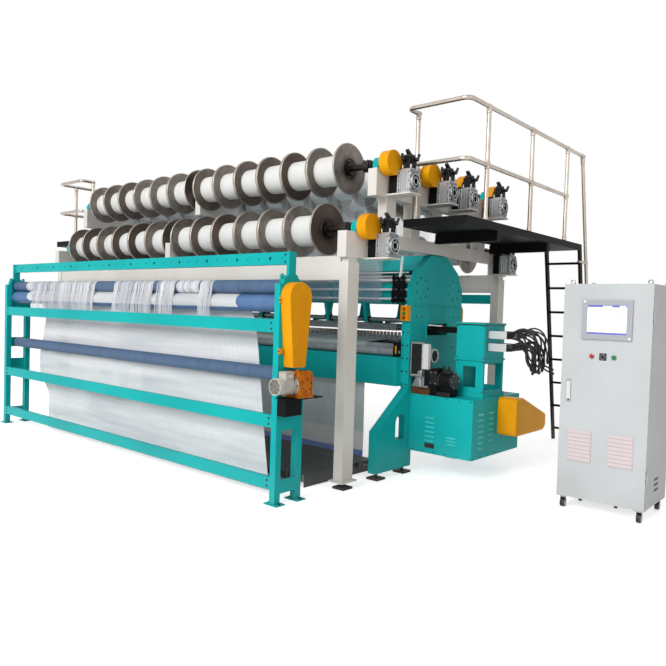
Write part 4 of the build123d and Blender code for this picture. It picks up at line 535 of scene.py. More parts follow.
dress("press_roller", slateRubber, darkSteel, choose=rollerFace(-2105, 1780, 60))
dress("take_up_roller", blueRubber, darkSteel, choose=rollerFace(-2105, 1640, 75))
dress("guide_roller", slateRubber, darkSteel, choose=rollerFace(-2090, 1055, 60))
dress("knitting_bed", steel, darkSteel, whiteRod, choose=lambda s, n: 2 if s.z > 1700 else 1 if s.z < 1290 else 0)
for name in ("needle_bar_front", "needle_bar_back"):
    dress(name, steel, brass, choose=lambda s, n: 1 if s.z > 1360 else 0)
dress("bearing_blocks", teal, black, choose=lambda s, n: 1 if s.z < 1320 and s.y < -395 else 0)  # roller blocks are black
dress("let_off_guards", yellow, black, choose=lambda s, n: 1 if abs(n.y) > 0.99 and any(
    z - 152 < s.z < z - 60 and abs(s.y - y) < 175 for y, z in rows) else 0)
# sloped faces of the drive box, the louvre lips, take the lighter teal of the painted highlight
dress("drive_box", teal, black, tealLipHighlight, choose=lambda s, n: 1 if s.y < -455.5 and s.z < 330 and s.x < 2920 else
      2 if 0.2 < n.z < 0.95 else 0)
dress("button_station", yellow, redPlastic, choose=lambda s, n: 1 if s.y < -544.5 and s.z > 1618 else 0)
dress("pattern_drive", teal, darkSteel, choose=lambda s, n: 1 if s.z > 1519 else 0)
# gearbox faces looking to +X take the darker casting: painted shade
dress("let_off_gearboxes", aluminium, darkHole, castingShadedFace, choose=lambda s, n: 1 if s.x < 2880 and s.x > 2857 and any(
    math.hypot(s.y - y - (130 if y < 0 else -130), s.z - z + 165) < 26.5 for y, z in rows) else 2 if n.x > 0.9 else 0)


def drivePart(s, n):  # framed panel, white profile, grey casting, reel and black motor
    if s.x < 2770 and s.y < -449.5 and s.z > 980:
        return 1 if -0.9 > n.y and s.y > -494.5 else 2
    if s.x < 2836 and s.y < -449.5 and s.z > 980:
        return 3
    if s.x < 2836 and s.z < 871:
        return 4
    if s.x > 2769 and s.x < 2811:
        return 1 if s.x < 2808 and n.x > 0.5 else 3
    return 5 if s.x < 2770 else 0


brownBase = enamel("brown primed base", {
    "colour": "#6B4526", "shade": "#4E321C", "under": "#2B1B10", "rough": 0.5, "cloud": 60, "chip": 9, "dust": 0.2,
    "dustTo": 900, "peel": 5, "grain": 0.3})
dress("take_down_drive", black, blackPlastic, extruded, palePlastic, brownBase, aluminium, choose=drivePart)
dress("cabinet_body", cabinetGrey, zinc, bezelPlastic, choose=lambda s, n: 1 if s.z > 1882 or s.x > 4861 or (
    s.y > 50 and 4181 < s.x < 4839 and s.z > 130) else 2 if -480 < s.y < 50 and 4250 < s.x < 4770 and 190 < s.z < 1800 else 0)
dress("cabinet_door", cabinetGrey, louvrePlastic, zinc, choose=lambda s, n: 2 if s.x > 4861 or (
    1265 < s.z < 1315 and s.y < -505.5) else 1 if s.y < -505.5 and s.z < 680 else 0)
dress("control_panel", bezelPlastic, screenWhite, choose=lambda s, n: 1 if n.y < -0.9 and s.y > -520 else 0)
dress("casters", blackPlastic, zinc, choose=lambda s, n: 1 if s.z > 81 else 0)
print("cad nodes dressed")

# Section-beam rows: rim beads, lighter than the flanges for a painted highlight, dark joints between spools, hub rings
# and couplings
beam = {"rimR": 240.5, "rimBead": 5, "bossR": 96, "clampFrom": 2392, "clampTo": 2468, "clampR": 56,
        "collarFrom": 2474, "collarTo": 2492, "collarR": 46, "boltRing": 78}
spoolLefts = [s + i * machine["spool"] for s in (-machine["beamHalf"], machine["groupGap"] / 2) for i in range(6)]
inside, lip = machine["flange"] - beam["rimBead"] * 0.4, beam["rimBead"] * 0.4
spots = [x + d for x in spoolLefts for d in (inside, machine["spool"] - inside)]
spots += [g * (machine["groupGap"] / 2 + lip) for g in (-1, 1)] + [g * (machine["beamHalf"] - lip) for g in (-1, 1)]
rims = copies(ring((0, 0, 0), (1, 0, 0), beam["rimR"], beam["rimBead"], 44, 6), [shift(x, 0, 0) for x in spots])
gaps = [x for x in spoolLefts if x not in (-machine["beamHalf"], machine["groupGap"] / 2)]
joints = copies(ring((0, 0, 0), (1, 0, 0), machine["flangeR"] - 0.4, 1.4, 44, 4), [shift(x, 0, 0) for x in gaps])
parts = []
for side in (-1, 1):
    parts.append(rod((side * beam["clampFrom"], 0, 0), (side * beam["clampTo"], 0, 0), beam["clampR"], 28, 5))
    parts.append(rod((side * beam["collarFrom"], 0, 0), (side * beam["collarTo"], 0, 0), beam["collarR"], 28, 3))
    for turn in (0.6, 2.17, 3.74, 5.31):
        out = Vector((0, math.cos(turn), math.sin(turn)))
        for along in (0.25, 0.75):
            foot = Vector((side * (beam["clampFrom"] + along * (beam["clampTo"] - beam["clampFrom"])), 0, 0))
            parts.append(rod(foot + out * (beam["clampR"] - 6), foot + out * (beam["clampR"] + 7), 8, 6, 1))
    face = side * machine["beamHalf"]
    parts.append(ring((face, 0, 0), (1, 0, 0), beam["bossR"], 6, 36, 6))
    parts += [rod((face, *spot), (face + side * 9, *spot), 8, 6, 1) for spot in around(6, beam["boltRing"])]
couplings = join(parts)
for index, (y, z) in enumerate(rows, start=1):
    body = f"warp_beam_{index}"
    settle(twin(rims, shift(0, y, z)), f"flange_rims_{index}", rimMetalHighlight, body)
    settle(twin(joints, shift(0, y, z)), f"spool_joints_{index}", darkHole, body)
    settle(twin(couplings, shift(0, y, z)), f"shaft_couplings_{index}", darkSteel, body)
for pattern in (rims, joints, couplings):
    bpy.data.objects.remove(pattern)
print("section beams detailed")

# Let-off drives: gearbox pads, ribs, ring faces, motor flanges, caps and right-angle plugs
drive = {"half": 71, "low": -270, "high": -60, "reach": 130, "padT": 8, "padW": 28, "ribT": 5, "ribs": (2791, 2809.5, 2828),
         "faceR": 64, "hubR": 36, "motor": 46, "motorX": 2815.6, "motorH": 118, "capH": 26,
         "cornerR": 84, "corner": 14, "boltRing": 50, "capHalf": 38}
castParts, blackParts, holeParts, bolts, brightBolts = [], [], [], [], []
for side in (1, -1):
    places = [shift(0, y, z) for y, z in rows if y * side < 0]
    mid, low, high = side * drive["reach"], drive["low"], drive["high"]
    cast, dark, holes = [], [], []
    for face in (-1, 1):
        skinY = mid + face * drive["half"]
        for left in (2744, 2874 - drive["padW"]):
            cast.append(block((left, skinY - face, low + 5),
                              (left + drive["padW"], skinY + face * drive["padT"], high - 5), 3))
            for up in (low + 26, (low + high) / 2, high - 26):
                spot = (left + drive["padW"] / 2, skinY + face * (drive["padT"] - 1), up)
                holes.append(rod(spot, (spot[0], spot[1] + face * 2, spot[2]), 6.5, 12, 0.5))
        for x in drive["ribs"]:
            cast.append(block((x - drive["ribT"] / 2, skinY - face, low + 14),
                              (x + drive["ribT"] / 2, skinY + face * 6, high - 14), 1.5))
    outX, middle = machine["gearX"] + machine["gearL"], (low + high) / 2
    cast.append(ring((outX, mid, middle), (1, 0, 0), drive["faceR"], 5, 40, 8))
    cast.append(ring((outX, mid, middle), (1, 0, 0), drive["hubR"], 4, 32, 8))
    groove = ring((outX, mid, middle), (1, 0, 0), drive["boltRing"], 10, 40, 6)
    holes.append(about(groove, at(outX, mid, middle), Matrix.Diagonal((0.1, 1, 1, 1))))
    half = drive["corner"]
    for dy, dz in around(4, drive["cornerR"], math.pi / 4):
        y, z = mid + dy, middle + dz
        cast.append(block((2856, y - half, z - half), (2884, y + half, z + half), 5))
        holes.append(rod((2883, y, z), (2885.5, y, z), 6, 12, 0.5))
    m, x, foot = drive["motor"], drive["motorX"], high
    head = foot + drive["motorH"]
    cast.append(block((x - m - 5, mid - m - 5, foot - 1), (x + m + 5, mid + m + 5, foot + 15), 4))
    corners = [(x + dx, mid + dy) for dx in (2 - m, m - 2) for dy in (2 - m, m - 2)]
    cast += [rod((*spot, foot + 12), (*spot, foot + 46), 9, 12, 2) for spot in corners]
    half = drive["capHalf"]
    cap = block((x - half, mid - half, head - 2), (x + half, mid + half, head + drive["capH"]), 6)
    top = [recess(cap, lambda f: f.normal.z > 0.9 and f.area > 0.002, 9, -5)]
    for dx in (-26, 0, 26):
        for face in (-1, 1):
            dark.append(block((x + dx - 5, mid + face * (m - 1), foot + 22),
                              (x + dx + 5, mid + face * (m + 3), head - 8), 1.5))
            dark.append(block((x + face * (m - 1), mid + dx - 5, foot + 22),
                              (x + face * (m + 3), mid + dx + 5, head - 8), 1.5))
    plug, tail = head - 30, mid - side * (m + 46)
    dark.append(rod((x - 15, tail + side * 14, plug - 4), (x - 15, tail - side * 16, plug + 52), 17, 14, 3, 12))
    dark.append(rod((x - 15, tail + side * 2, plug + 20), (x - 15, tail - side * 6, plug + 34), 19, 14, 2))
    dark.append(rod((x + m + 34, mid, plug - 4), (x + m + 60, mid, plug + 50), 17, 14, 3, 12))
    top.append(rod((x + 12, mid - 6, head + 20), (x + 12, mid - 60, head + 62), 16, 14, 3, 13))
    top.append(rod((x - 14, mid + 4, head + 20), (x - 14, mid - 44, head + 66), 14, 14, 3, 11))
    castParts.append(copies(join(cast), places))
    blackParts.append(copies(join(dark), places))
    clear = [shift(0, y, z) for y, z in rows if y * side < 0 and y < 1200]  # the last row has no room under the deck
    blackParts.append(copies(join(top), clear))
    holeParts.append(copies(join(holes), places))
    for y, z in rows:
        if y * side < 0:
            brightBolts += [((outX, y + mid + dy, z + middle + dz), (1, 0, 0), 0.62)
                            for dy, dz in around(6, drive["boltRing"], 0.3)]
            bolts += [((cx, y + cy, z + foot + 45), (0, 0, 1), 0.6) for cx, cy in corners]
settle(join(castParts), "gearbox_castings", aluminium)
settle(join(blackParts), "servo_details", blackPlastic)
print("let-off drives detailed")

# Handrail fittings: tees, crosses and base plates
rail = {"teeR": 25, "teeL": 46, "footL": 62, "footW": 38, "footT": 8, "deck": 2490, "edges": (2640.6, 3320.6)}
tee = join([rod((0, 0, -64), (0, 0, -14), rail["teeR"], 20, 4),
            rod((0, -rail["teeL"] / 2, 0), (0, rail["teeL"] / 2, 0), rail["teeR"], 20, 4)])
cross = join([rod((0, 0, -40), (0, 0, 40), rail["teeR"], 20, 4),
              rod((0, -rail["teeL"] * 0.8, 0), (0, rail["teeL"] * 0.8, 0), rail["teeR"] - 1, 20, 4)])
base = rod((0, 0, 1), (0, 0, 44), rail["teeR"], 20, 4)
stops = []
for inner, outer, front, last, posts, top, knee in (
        (2650.6, 3310.6, -705, (), (-345, 617, 1560), 3540, 3000),
        (-2665.6, -3295.6, -1140, (1140,), (-885, 0, 885), 3340, 2910)):
    stops += [(x, y, top, knee) for x, y in [(inner, front + 175)] + [(outer, y) for y in (*posts, *last)]]
fittings = [copies(tee, [shift(x, y, top) for x, y, top, knee in stops]),
            copies(cross, [shift(x, y, knee) for x, y, top, knee in stops]),
            copies(base, [shift(x, y, rail["deck"]) for x, y, top, knee in stops])]
for x, y, top, knee in stops:  # each plate runs from the deck's edge inwards
    near = math.copysign(min(rail["edges"], key=lambda e: abs(e - abs(x))), x)
    way = math.copysign(1, x - near) if abs(x - near) > 1 else 1
    fittings.append(block((near, y - rail["footW"], rail["deck"]),
                          (x + way * rail["footL"], y + rail["footW"], rail["deck"] + rail["footT"]), 2))
    bolts += [((x + way * 44, y + dy, rail["deck"] + rail["footT"] - 1), (0, 0, 1), 0.6) for dy in (-24, 24)]
grab = {"x": 3310.6, "y": 2015, "z": 3540, "lean": 385 / 1880}
fittings.append(rod((grab["x"], grab["y"] - 34, grab["z"]), (grab["x"], grab["y"] + 40, grab["z"]), rail["teeR"], 20, 4))
for high, low in ((3522, 3450), (2304, 2256), (1744, 1696)):  # sleeves down the leaning grab rail
    ends = [(grab["x"], grab["y"] + grab["lean"] * (grab["z"] - z), z) for z in (high, low)]
    fittings.append(rod(*ends, rail["teeR"], 20, 4))
settle(join(fittings), "handrail_fittings", stainless)
print("handrails detailed")

# Take-up stand: chain-guard tabs and lid plate, bearing housings, press springs, rail bolts
stand = {"half": 2535, "front": -2240, "tabZs": (1256, 1668), "guardX": 2643}
yellowParts, tealParts = [], []
for z in stand["tabZs"]:
    yellowParts.append(block((stand["half"] + 1, -2249, z - 22), (stand["half"] + 16, -2205, z + 22), 3))
    bolts.append(((stand["half"] + 9, -2248, z), (0, -1, 0), 0.7))
for z in (1180, 1700):
    y = -2000 if z < 1500 else -1990
    yellowParts.append(block((stand["half"] + 1, y, z - 20), (stand["half"] + 16, -1955, z + 20), 3))
plate = rod((stand["guardX"] - 2, machine["rollerY"], 1690), (stand["guardX"] + 1, machine["rollerY"], 1690), 118, 48, 1)
yellowParts.append(recess(plate, lambda f: f.normal.x > 0.9, 10, -1.5))
settle(join(yellowParts), "chain_guard_tabs", yellow)
for side in (-1, 1):
    for z, radius in ((1640, 52), (1780, 46), (1055, 44)):
        x = side * (stand["half"] - 30)
        y = machine["rollerY"] if z > 1100 else -2090
        tealParts.append(rod((x, y, z), (x - side * 16, y, z), radius, 28, 4))
    x = side * (stand["half"] - 40)
    for y in (machine["rollerY"] - 78, machine["rollerY"] + 78):
        tealParts += [rod((x, y, 1804 + step * 15), (x, y, 1814 + step * 15), 22, 20, 3) for step in range(5)]
        tealParts.append(rod((x, y, 1798), (x, y, 1884), 12, 12, 1))
    bolts += [((side * (stand["half"] - 92), stand["front"] + 0.5, z + dz), (0, -1, 0), 0.9)
              for z in (173, 682, 1458) for dz in (-24, 24)]
    bolts += [((side * (stand["half"] - 62), machine["rollerY"] - 25.5, 2012 + dz), (0, -1, 0), 0.9) for dz in (-30, 30)]
    bolts += [((side * (stand["half"] - 31) + dx, y, 9.5), (0, 0, 1), 1.2) for y in (-2209, -1966) for dx in (-55, 55)]
settle(join(tealParts), "stand_bearings", teal)

# Take-up motor: fins, fan grille, terminal lid, gland; gear unit covers and ribs
motor = {"x": 2625, "z": 985, "r": 62, "front": -2360, "fan": -2305, "back": -2160, "fins": 22, "finH": 6, "finHalf": 1.6,
         "spokeIn": 10, "boltRing": 68, "flangeR": 76}
mx, mz, front, back = motor["x"], motor["z"], motor["front"], motor["back"]
parts = fins(motor["fins"], (1.0, 2.15), at(mx, 0, mz), "Y", -1,
             (mx + motor["r"] - 3, motor["fan"] + 6, mz - motor["finHalf"]),
             (mx + motor["r"] + motor["finH"], back - 14, mz + motor["finHalf"]))
parts += [ring((mx, front + 1, mz), (0, 1, 0), radius, 2.6, 32, 6) for radius in (16, 30, 44, 58)]
parts += [rod((mx + a, front + 1, mz + b), (mx + c, front + 1, mz + d), 2.4, 8, 0.5)
          for (a, b), (c, d) in zip(around(8, motor["spokeIn"]), around(8, motor["r"]))]
parts.append(rod((mx, back - 12, mz), (mx, back + 2, mz), motor["flangeR"], 36, 3))
lid = block((mx - 43, -2280, 1090), (mx + 43, -2185, 1098), 3)
parts.append(recess(lid, lambda f: f.normal.z > 0.9 and f.area > 0.002, 6, 2))
parts.append(rod((mx + 40, -2232, 1066), (mx + 62, -2232, 1066), 13, 6, 2))
settle(join(parts), "motor_fins", motorGrey)
holeParts.append(rod((mx, front + 0.6, mz), (mx, front - 0.2, mz), motor["r"] - 1, 32, 0.2))
bolts += [((mx + dx, y, 1097), (0, 0, 1), 0.5) for dx in (-34, 34) for y in (-2272, -2193)]
bolts += [((mx + dx, back - 12, mz + dz), (0, -1, 0), 0.7) for dx, dz in around(6, motor["boltRing"])]
gear = {"x0": 2555, "x1": 2695, "y0": -2160, "y1": -1995, "z0": 885, "z1": 1085, "cover": 62, "boltRing": 50}
parts = [rod((gear["x1"] - 2, -2078, 985), (gear["x1"] + 10, -2078, 985), gear["cover"], 36, 4),
         rod((gear["x1"] + 6, -2078, 985), (gear["x1"] + 14, -2078, 985), 34, 28, 3),
         block((gear["x0"] + 6, gear["y0"] + 4, gear["z1"] - 4), (gear["x1"] - 6, gear["y1"] - 4, gear["z1"] + 8), 5),
         rod((2640, -2120, gear["z1"] + 4), (2640, -2120, gear["z1"] + 26), 13, 6, 2),
         block((gear["x0"] - 8, gear["y0"] - 4, gear["z0"]), (gear["x1"] + 14, gear["y1"] + 6, gear["z0"] + 16), 4)]
for y in (-2148, -2078, -2008):
    parts.append(block((gear["x1"] - 1, y - 5, gear["z0"] + 10), (gear["x1"] + 9, y + 5, 1060), 2))
    parts.append(block((gear["x0"] + 10, y - 4, gear["z1"] - 2), (gear["x1"] - 10, y + 4, gear["z1"] + 14), 2))
bolts += [((gear["x1"] + 9, -2078 + dy, 985 + dz), (1, 0, 0), 0.7) for dy, dz in around(6, gear["boltRing"], 0.4)]
bolts += [((x, y, 900), (0, 0, 1), 0.9) for x in (2560, 2700) for y in (-2150, -2000)]
settle(join(parts), "gear_unit_covers", orange)
print("take-up stand detailed")


# End frames: raised band, seam ledge and rib on the outer face, covers of the push rods, dark castings behind the windows
end = {"out": 2618.6, "band": ((-132, 1488), (116, 1667)), "seam": (1664, 1682), "half": 490, "rib": (-228, -214, 1330, 1502),
       "shroud": (2428, 2446), "window": (330, 1352, 1512), "rods": (60, 95, 130), "rodRoom": 12, "rodZ": 1435}
parts, darkParts = [], []
for side in (-1, 1):
    x = side * end["out"]
    (y0, z0), (y1, z1) = end["band"]
    band = block((x - side, y0, z0), (x + side * 6, y1, z1), 2)
    parts.append(recess(band, lambda f: abs(f.normal.x) > 0.9 and f.area > 0.03, 10, -2))
    parts.append(block((x - side, -end["half"], end["seam"][0]), (x + side * 9, end["half"], end["seam"][1]), 2))
    parts.append(block((x - side, end["rib"][0], end["rib"][2]), (x + side * 14, end["rib"][1], end["rib"][3]), 2))
    for z in (880, 1010, 1140, 1270, 1400, 1620):
        bolts += [((side * 2568.6 + d, -503.5, z), (0, -1, 0), 0.9) for d in (-28, 28)]
    bolts += [((x + side * 8, -440 + 110 * step, 1673), (side, 0, 0), 0.6) for step in range(9)]
    bolts += [((x, y, z), (side, 0, 0), 0.8) for y in (-400, -300, 320, 420) for z in (1240, 1560)]
    x0, x1 = side * end["shroud"][0], side * end["shroud"][1]
    wide, low, high = end["window"]
    room = end["rodRoom"]
    darkParts.append(block((x0, -wide, low), (x1, wide, end["rodZ"] - room), 2))
    darkParts.append(block((x0, -wide, end["rodZ"] + room), (x1, wide, high), 2))
    if side < 0:
        darkParts.append(block((x0, -wide, end["rodZ"] - room), (x1, wide, end["rodZ"] + room), 0))
    else:  # strips between the push rods
        middles = [-y for y in end["rods"][::-1]] + list(end["rods"])
        marks = [-wide] + [y + d for y in middles for d in (-room, room)] + [wide]
        for a, b in zip(marks[::2], marks[1::2]):
            darkParts.append(block((x0, a, end["rodZ"] - room), (x1, b, end["rodZ"] + room), 0))
for side in (-1, 1):  # folded covers over the push rods between the frame and the pattern box
    near, far = side * 42, side * 152
    darkParts.append(block((2634, near, 1456), (2966, far, 1463), 1.5))
    darkParts.append(block((2634, near, 1407), (2966, far, 1414), 1.5))
    darkParts.append(block((2634, far, 1407), (2966, far + side * 6, 1463), 1.5))
settle(join(parts), "head_mouldings", teal)
parts = [rod((2620, -182, 1478), (2790, -182, 1472), 7, 12, 1), rod((2614, -182, 1478), (2650, -182, 1477), 11, 14, 2)]
settle(join(parts), "sensor_rod", whiteRod)
settle(rod((2786, -182, 1472.2), (2806, -182, 1471.5), 9, 14, 2), "sensor_cap", redPlastic)
bracket = [block((2500, 495, 1500), (2610, 545, 1660), 4), block((2498, -581, 1185), (2514, -574, 1264), 2)]
settle(join(bracket), "yellow_stops", yellow)

# Black castings at the drive end of the yarn rods, with a white pipe and a pale lamp rail under the hood
casting = {"x": (2330, 2512), "back": -446}
for low, high, y in ((1700, 1742, -480), (1752, 1822, -488), (1838, 1918, -492), (1932, 1966, -476)):
    x = casting["x"][0] + random.uniform(0, 50)
    darkParts.append(block((x, y, low), (casting["x"][1], casting["back"], high), 6))
    for step in range(3):
        spot = (x + 24 + 52 * step, y, (low + high) / 2)
        darkParts.append(rod((spot[0], y + 4, spot[2]), (spot[0], y - 16, spot[2]), 15, 16, 3, 11))
for x in (2372, 2431, 2490):
    darkParts.append(block((x - 9, -478, 1690), (x + 9, -452, 1978), 4))
    bolts += [((x, -478, z), (0, -1, 0), 0.7) for z in (1748, 1830, 1924)]
settle(join(darkParts), "dark_castings", black)
parts = [rod((2452, -462, 1960), (2470, -462, 2168), 14, 16, 2), rod((2451, -462, 1952), (2454, -462, 1990), 19, 16, 3),
         rod((-2500, -389, 2006), (2500, -389, 2006), 7.5, 14, 1)]
settle(join(parts), "pipe_and_lamp_rail", whiteRod)

# Rocker clamps beside the hangers
clamp = {"hub": 300, "z": 1516, "r": 44, "half": 15, "barHalf": 2200}
parts = []
for side in (-1, 1):
    for step in range(8):
        x = -clamp["barHalf"] + 2 * clamp["barHalf"] * (step + 0.5) / 8
        for edge in (-1, 1):
            parts.append(rod((x + edge * 24, side * clamp["hub"], clamp["z"]),
                             (x + edge * (24 + clamp["half"]), side * clamp["hub"], clamp["z"]), clamp["r"] - 10, 24, 3))
            bolts.append(((x + edge * 31, side * (clamp["hub"] + 33), clamp["z"]), (0, side, 0), 0.7))
settle(join(parts), "rocker_clamps", darkSteel)
print("end frames detailed")

# Take-down drive: frame screws, profile groove, cast arm, finned motor with plugs
servo = {"y": -375, "z": 945, "r": 78, "from": 2926, "to": 3072, "fins": 20, "boltRing": 66}
sy, sz = servo["y"], servo["z"]
castArm = about(block((2696, -481, 872), (2752, -452, 1046), 7), at(0, 0, 872), Matrix.Shear("XY", 4, (-0.16, 0)))
parts = [castArm, rod((2741, -470, 1012), (2741, -500, 1012), 24, 20, 4), block((2700, -484, 868), (2826, -446, 886), 4),
         block((2634, -497, 970), (2766, -452, 986), 3), block((2634, -497, 1304), (2766, -452, 1314), 3)]
settle(join(parts), "cast_arm", aluminium)
groove = recess(block((2779, -500, 1056), (2827, -494, 1291), 2), lambda f: f.normal.y < -0.9, 12, -4)
settle(groove, "profile_face", palePlastic)
parts = fins(servo["fins"], (4.2, 5.3), at(0, sy, sz), "X", 1, (servo["from"] + 14, sy - 2, sz + servo["r"] - 3),
             (servo["to"] - 26, sy + 2, sz + servo["r"] + 6))
parts += [rod((servo["to"] - 20, sy, sz), (servo["to"] + 6, sy, sz), 84, 36, 4),
          rod((servo["from"] - 8, sy, sz), (servo["from"] + 12, sy, sz), 88, 36, 4),
          block((2950, -412, 1016), (3034, -342, 1050), 5), rod((2968, -392, 1046), (2958, -402, 1092), 15, 14, 3, 12),
          rod((3010, -388, 1046), (3020, -404, 1088), 15, 14, 3, 12), block((2842, -462, 905), (2914, -448, 1035), 4),
          rod((2878, -462, 1000), (2878, -486, 1000), 20, 18, 3), rod((2878, -460, 935), (2878, -478, 935), 26, 20, 3),
          block((2926, -470, 798), (3068, -446, 842), 4)]
settle(join(parts), "servo_fins", blackPlastic)
brightBolts += [((x, -461, z), (0, -1, 0), 0.8) for z in (918, 1024) for x in (2850, 2906)]
brightBolts += [((servo["to"] + 5, sy + dy, sz + dz), (1, 0, 0), 0.7) for dy, dz in around(6, servo["boltRing"])]
bolts += [((x, -495, z), (0, -1, 0), 0.42) for x in (2635.6, 2764.6) for z in (1000, 1145, 1290)]
bolts += [((x, -455, z), (0, -1, 0), 0.55) for x in range(2650, 3310, 130) for z in (245, 776)]
bolts += [((3318.6, y, z), (1, 0, 0), 0.55) for y in range(-430, 40, 150) for z in (245, 776)]
bolts += [((x, -210, z), (0, -1, 0), 0.6) for x in (2994, 3265) for z in (850, 1140, 1180, 1490)]
bolts += [((3280.6, y, z), (1, 0, 0), 0.6) for y in (-192, 192) for z in (850, 1140, 1180, 1490)]
print("take-down drive detailed")

# Pattern box: base ledge, dark lid joint, frames round the actuators
box = {"actuators": [(y, z) for y in (-105, 105) for z in (1290, 1410)], "frame": (46, 44), "endX": 3475.6}
parts = [block((2966, -224, 1150), (3292, 224, 1168), 3), block((2968, -222, 823), (3291, 222, 836), 2)]
settle(join(parts), "pattern_ledge", teal)
dy, dz = box["frame"]
parts = [block((3279, y - dy, z - dz), (3284, y + dy, z + dz), 2) for y, z in box["actuators"]]
parts.append(block((2967, -221, 1498), (3292, 221, 1505), 1))
settle(join(parts), "pattern_seals", blackPlastic)
bolts += [((box["endX"], y + dy, z + dz), (1, 0, 0), 0.55)
          for y, z in box["actuators"] for dy in (-27, 27) for dz in (-27, 27)]
print("pattern box detailed")

# Press roller: open tube end at the drive side
tube = {"x": 2435, "y": -2105, "z": 1780, "rimR": 55, "boreR": 52}
y, z = tube["y"], tube["z"]
rim = ring((tube["x"] - 1, y, z), (1, 0, 0), tube["rimR"], 3.5, 40, 8)
settle(rim, "press_roller_rim", palePlastic, "press_roller")
bore = rod((tube["x"] - 2, y, z), (tube["x"] + 0.6, y, z), tube["boreR"], 40, 0.3)
settle(bore, "press_roller_bore", darkHole, "press_roller")

# Cabinet: lit screen fields, bezel dots, switch plate, handle plate, caster hubs, feet
cab = {"x": 4160, "w": 700, "screen": (4517, 1590), "half": (155, 120), "face": -518, "controlZ": 1290}
sx, sz = cab["screen"]
wide, high = cab["half"]


def field(left, right, low, top, look, name):  # a lit patch on the screen, given from the screen's centre
    piece = block((sx + left, cab["face"] - 0.7, sz + low), (sx + right, cab["face"] + 0.4, sz + top), 0.2)
    settle(piece, name, look, "cabinet_door")


field(-wide + 1, wide - 1, high - 19, high - 1, screenBlue, "screen_header")
field(-wide + 1, wide - 1, -high + 1, -high + 18, screenBlue, "screen_footer")
grey = [(-84, -60, 44, 50), (-40, 60, 46, 48), (92, 124, 36, 48), (-84, -30, 8, 10), (-84, -20, -14, -12),
        (-84, -36, -36, -34), (-84, -50, -58, -56)]
marks = [block((sx + a, cab["face"] - 0.7, sz + c), (sx + b, cab["face"] + 0.4, sz + d), 0.2) for a, b, c, d in grey]
settle(join(marks), "screen_lines", screenGrey, "cabinet_door")
marks = [block((sx - 34, cab["face"] - 1.1, sz + high - 15), (sx + 40, cab["face"] + 0.2, sz + high - 7), 0.2),
         block((sx + 96, cab["face"] - 1.1, sz + high - 16), (sx + 146, cab["face"] + 0.2, sz + high - 5), 0.2)]
marks += [rod((sx + dx, -522.5, sz + dz), (sx + dx, -524.5, sz + dz), 8, 20, 0.5) for dx, dz in ((-178, 146), (180, -146))]
settle(join(marks), "screen_tabs", screenWhite, "cabinet_door")
mid, low = cab["x"] + 0.48 * cab["w"], cab["controlZ"]
parts = [block((mid - 29, -507.5, low - 29), (mid + 29, -504.5, low + 29), 2),
         rod((4230, -505, 917), (4230, -508, 917), 7, 16, 0.6)]
settle(join(parts), "switch_plate", blackPlastic, "cabinet_door")
plate = block((4208, -505.2, 898), (4252, -504, 1092), 0.1)
settle(plate, "handle_plate", bezelPlastic, "cabinet_door")
parts = [ring((cab["x"] + share * cab["w"], -509, cab["controlZ"]), (0, 1, 0), 18.5, 2.4, 32, 8)
         for share in (0.355, 0.48, 0.605)]
settle(join(parts), "button_collars", zinc, "cabinet_door")
parts = []
for x in (4205, 4815):
    for y in (-460, 50):
        for edge in (-1, 1):
            parts.append(rod((x + edge * 13, y, 40), (x + edge * 21.5, y, 40), 19, 24, 3))
            parts.append(rod((x + edge * 18, y, 40), (x + edge * 24, y, 40), 8, 6, 1))
        parts.append(rod((x, y, 86), (x, y, 98), 26, 24, 2))
feet = [rod((x, -478, 84), (x, -478, 106), 15, 16, 2) for x in (4356, 4640)]
settle(join(parts), "caster_hubs", zinc)
settle(join(feet), "cabinet_feet", blackPlastic)
print("cabinet detailed")


# Cap screws and dark bores, placed where the pieces above ask for them
screw = {"washer": 11, "washerT": 2, "head": 9, "headT": 7, "socket": 4.5}
flat = rod((0, 0, 0), (0, 0, screw["washerT"]), screw["washer"], 16)
head = rod((0, 0, screw["washerT"] - 0.2), (0, 0, screw["headT"]), screw["head"], 12, 0.8)
head = recess(head, lambda f: f.normal.z > 0.95 and f.center.z > 0.005, screw["head"] - screw["socket"] - 1, -3)
bolt = join([flat, head])
bolt.data.transform(Matrix.Translation(-at(0, 0, 0)))
settle(copies(twin(bolt, Matrix()), [facing(*spot) for spot in brightBolts]), "bright_screws", zinc)
settle(copies(bolt, [facing(*spot) for spot in bolts]), "cap_screws", blackOxide)
settle(join(holeParts), "dark_bores", darkHole)
print("screws set")


# Cables hanging from the pattern drive
cables = {"x": 3475.6, "r": 7, "plugR": 12, "plugL": 52, "routes": (
    (-120, 1425, ((70, 0), (150, 40), (250, 20), (305, -70), (325, -160), (330, -230))),
    (-95, 1400, ((60, 0), (130, 30), (200, -20), (235, -110), (245, -200))),
    (-115, 1300, ((60, 0), (130, 5), (195, -50), (212, -115), (232, -165))),
    (90, 1425, ((70, 0), (160, 25), (255, -30), (300, -130), (310, -220))),
    (120, 1290, ((60, 0), (140, 10), (200, -45), (216, -110), (236, -155))))}


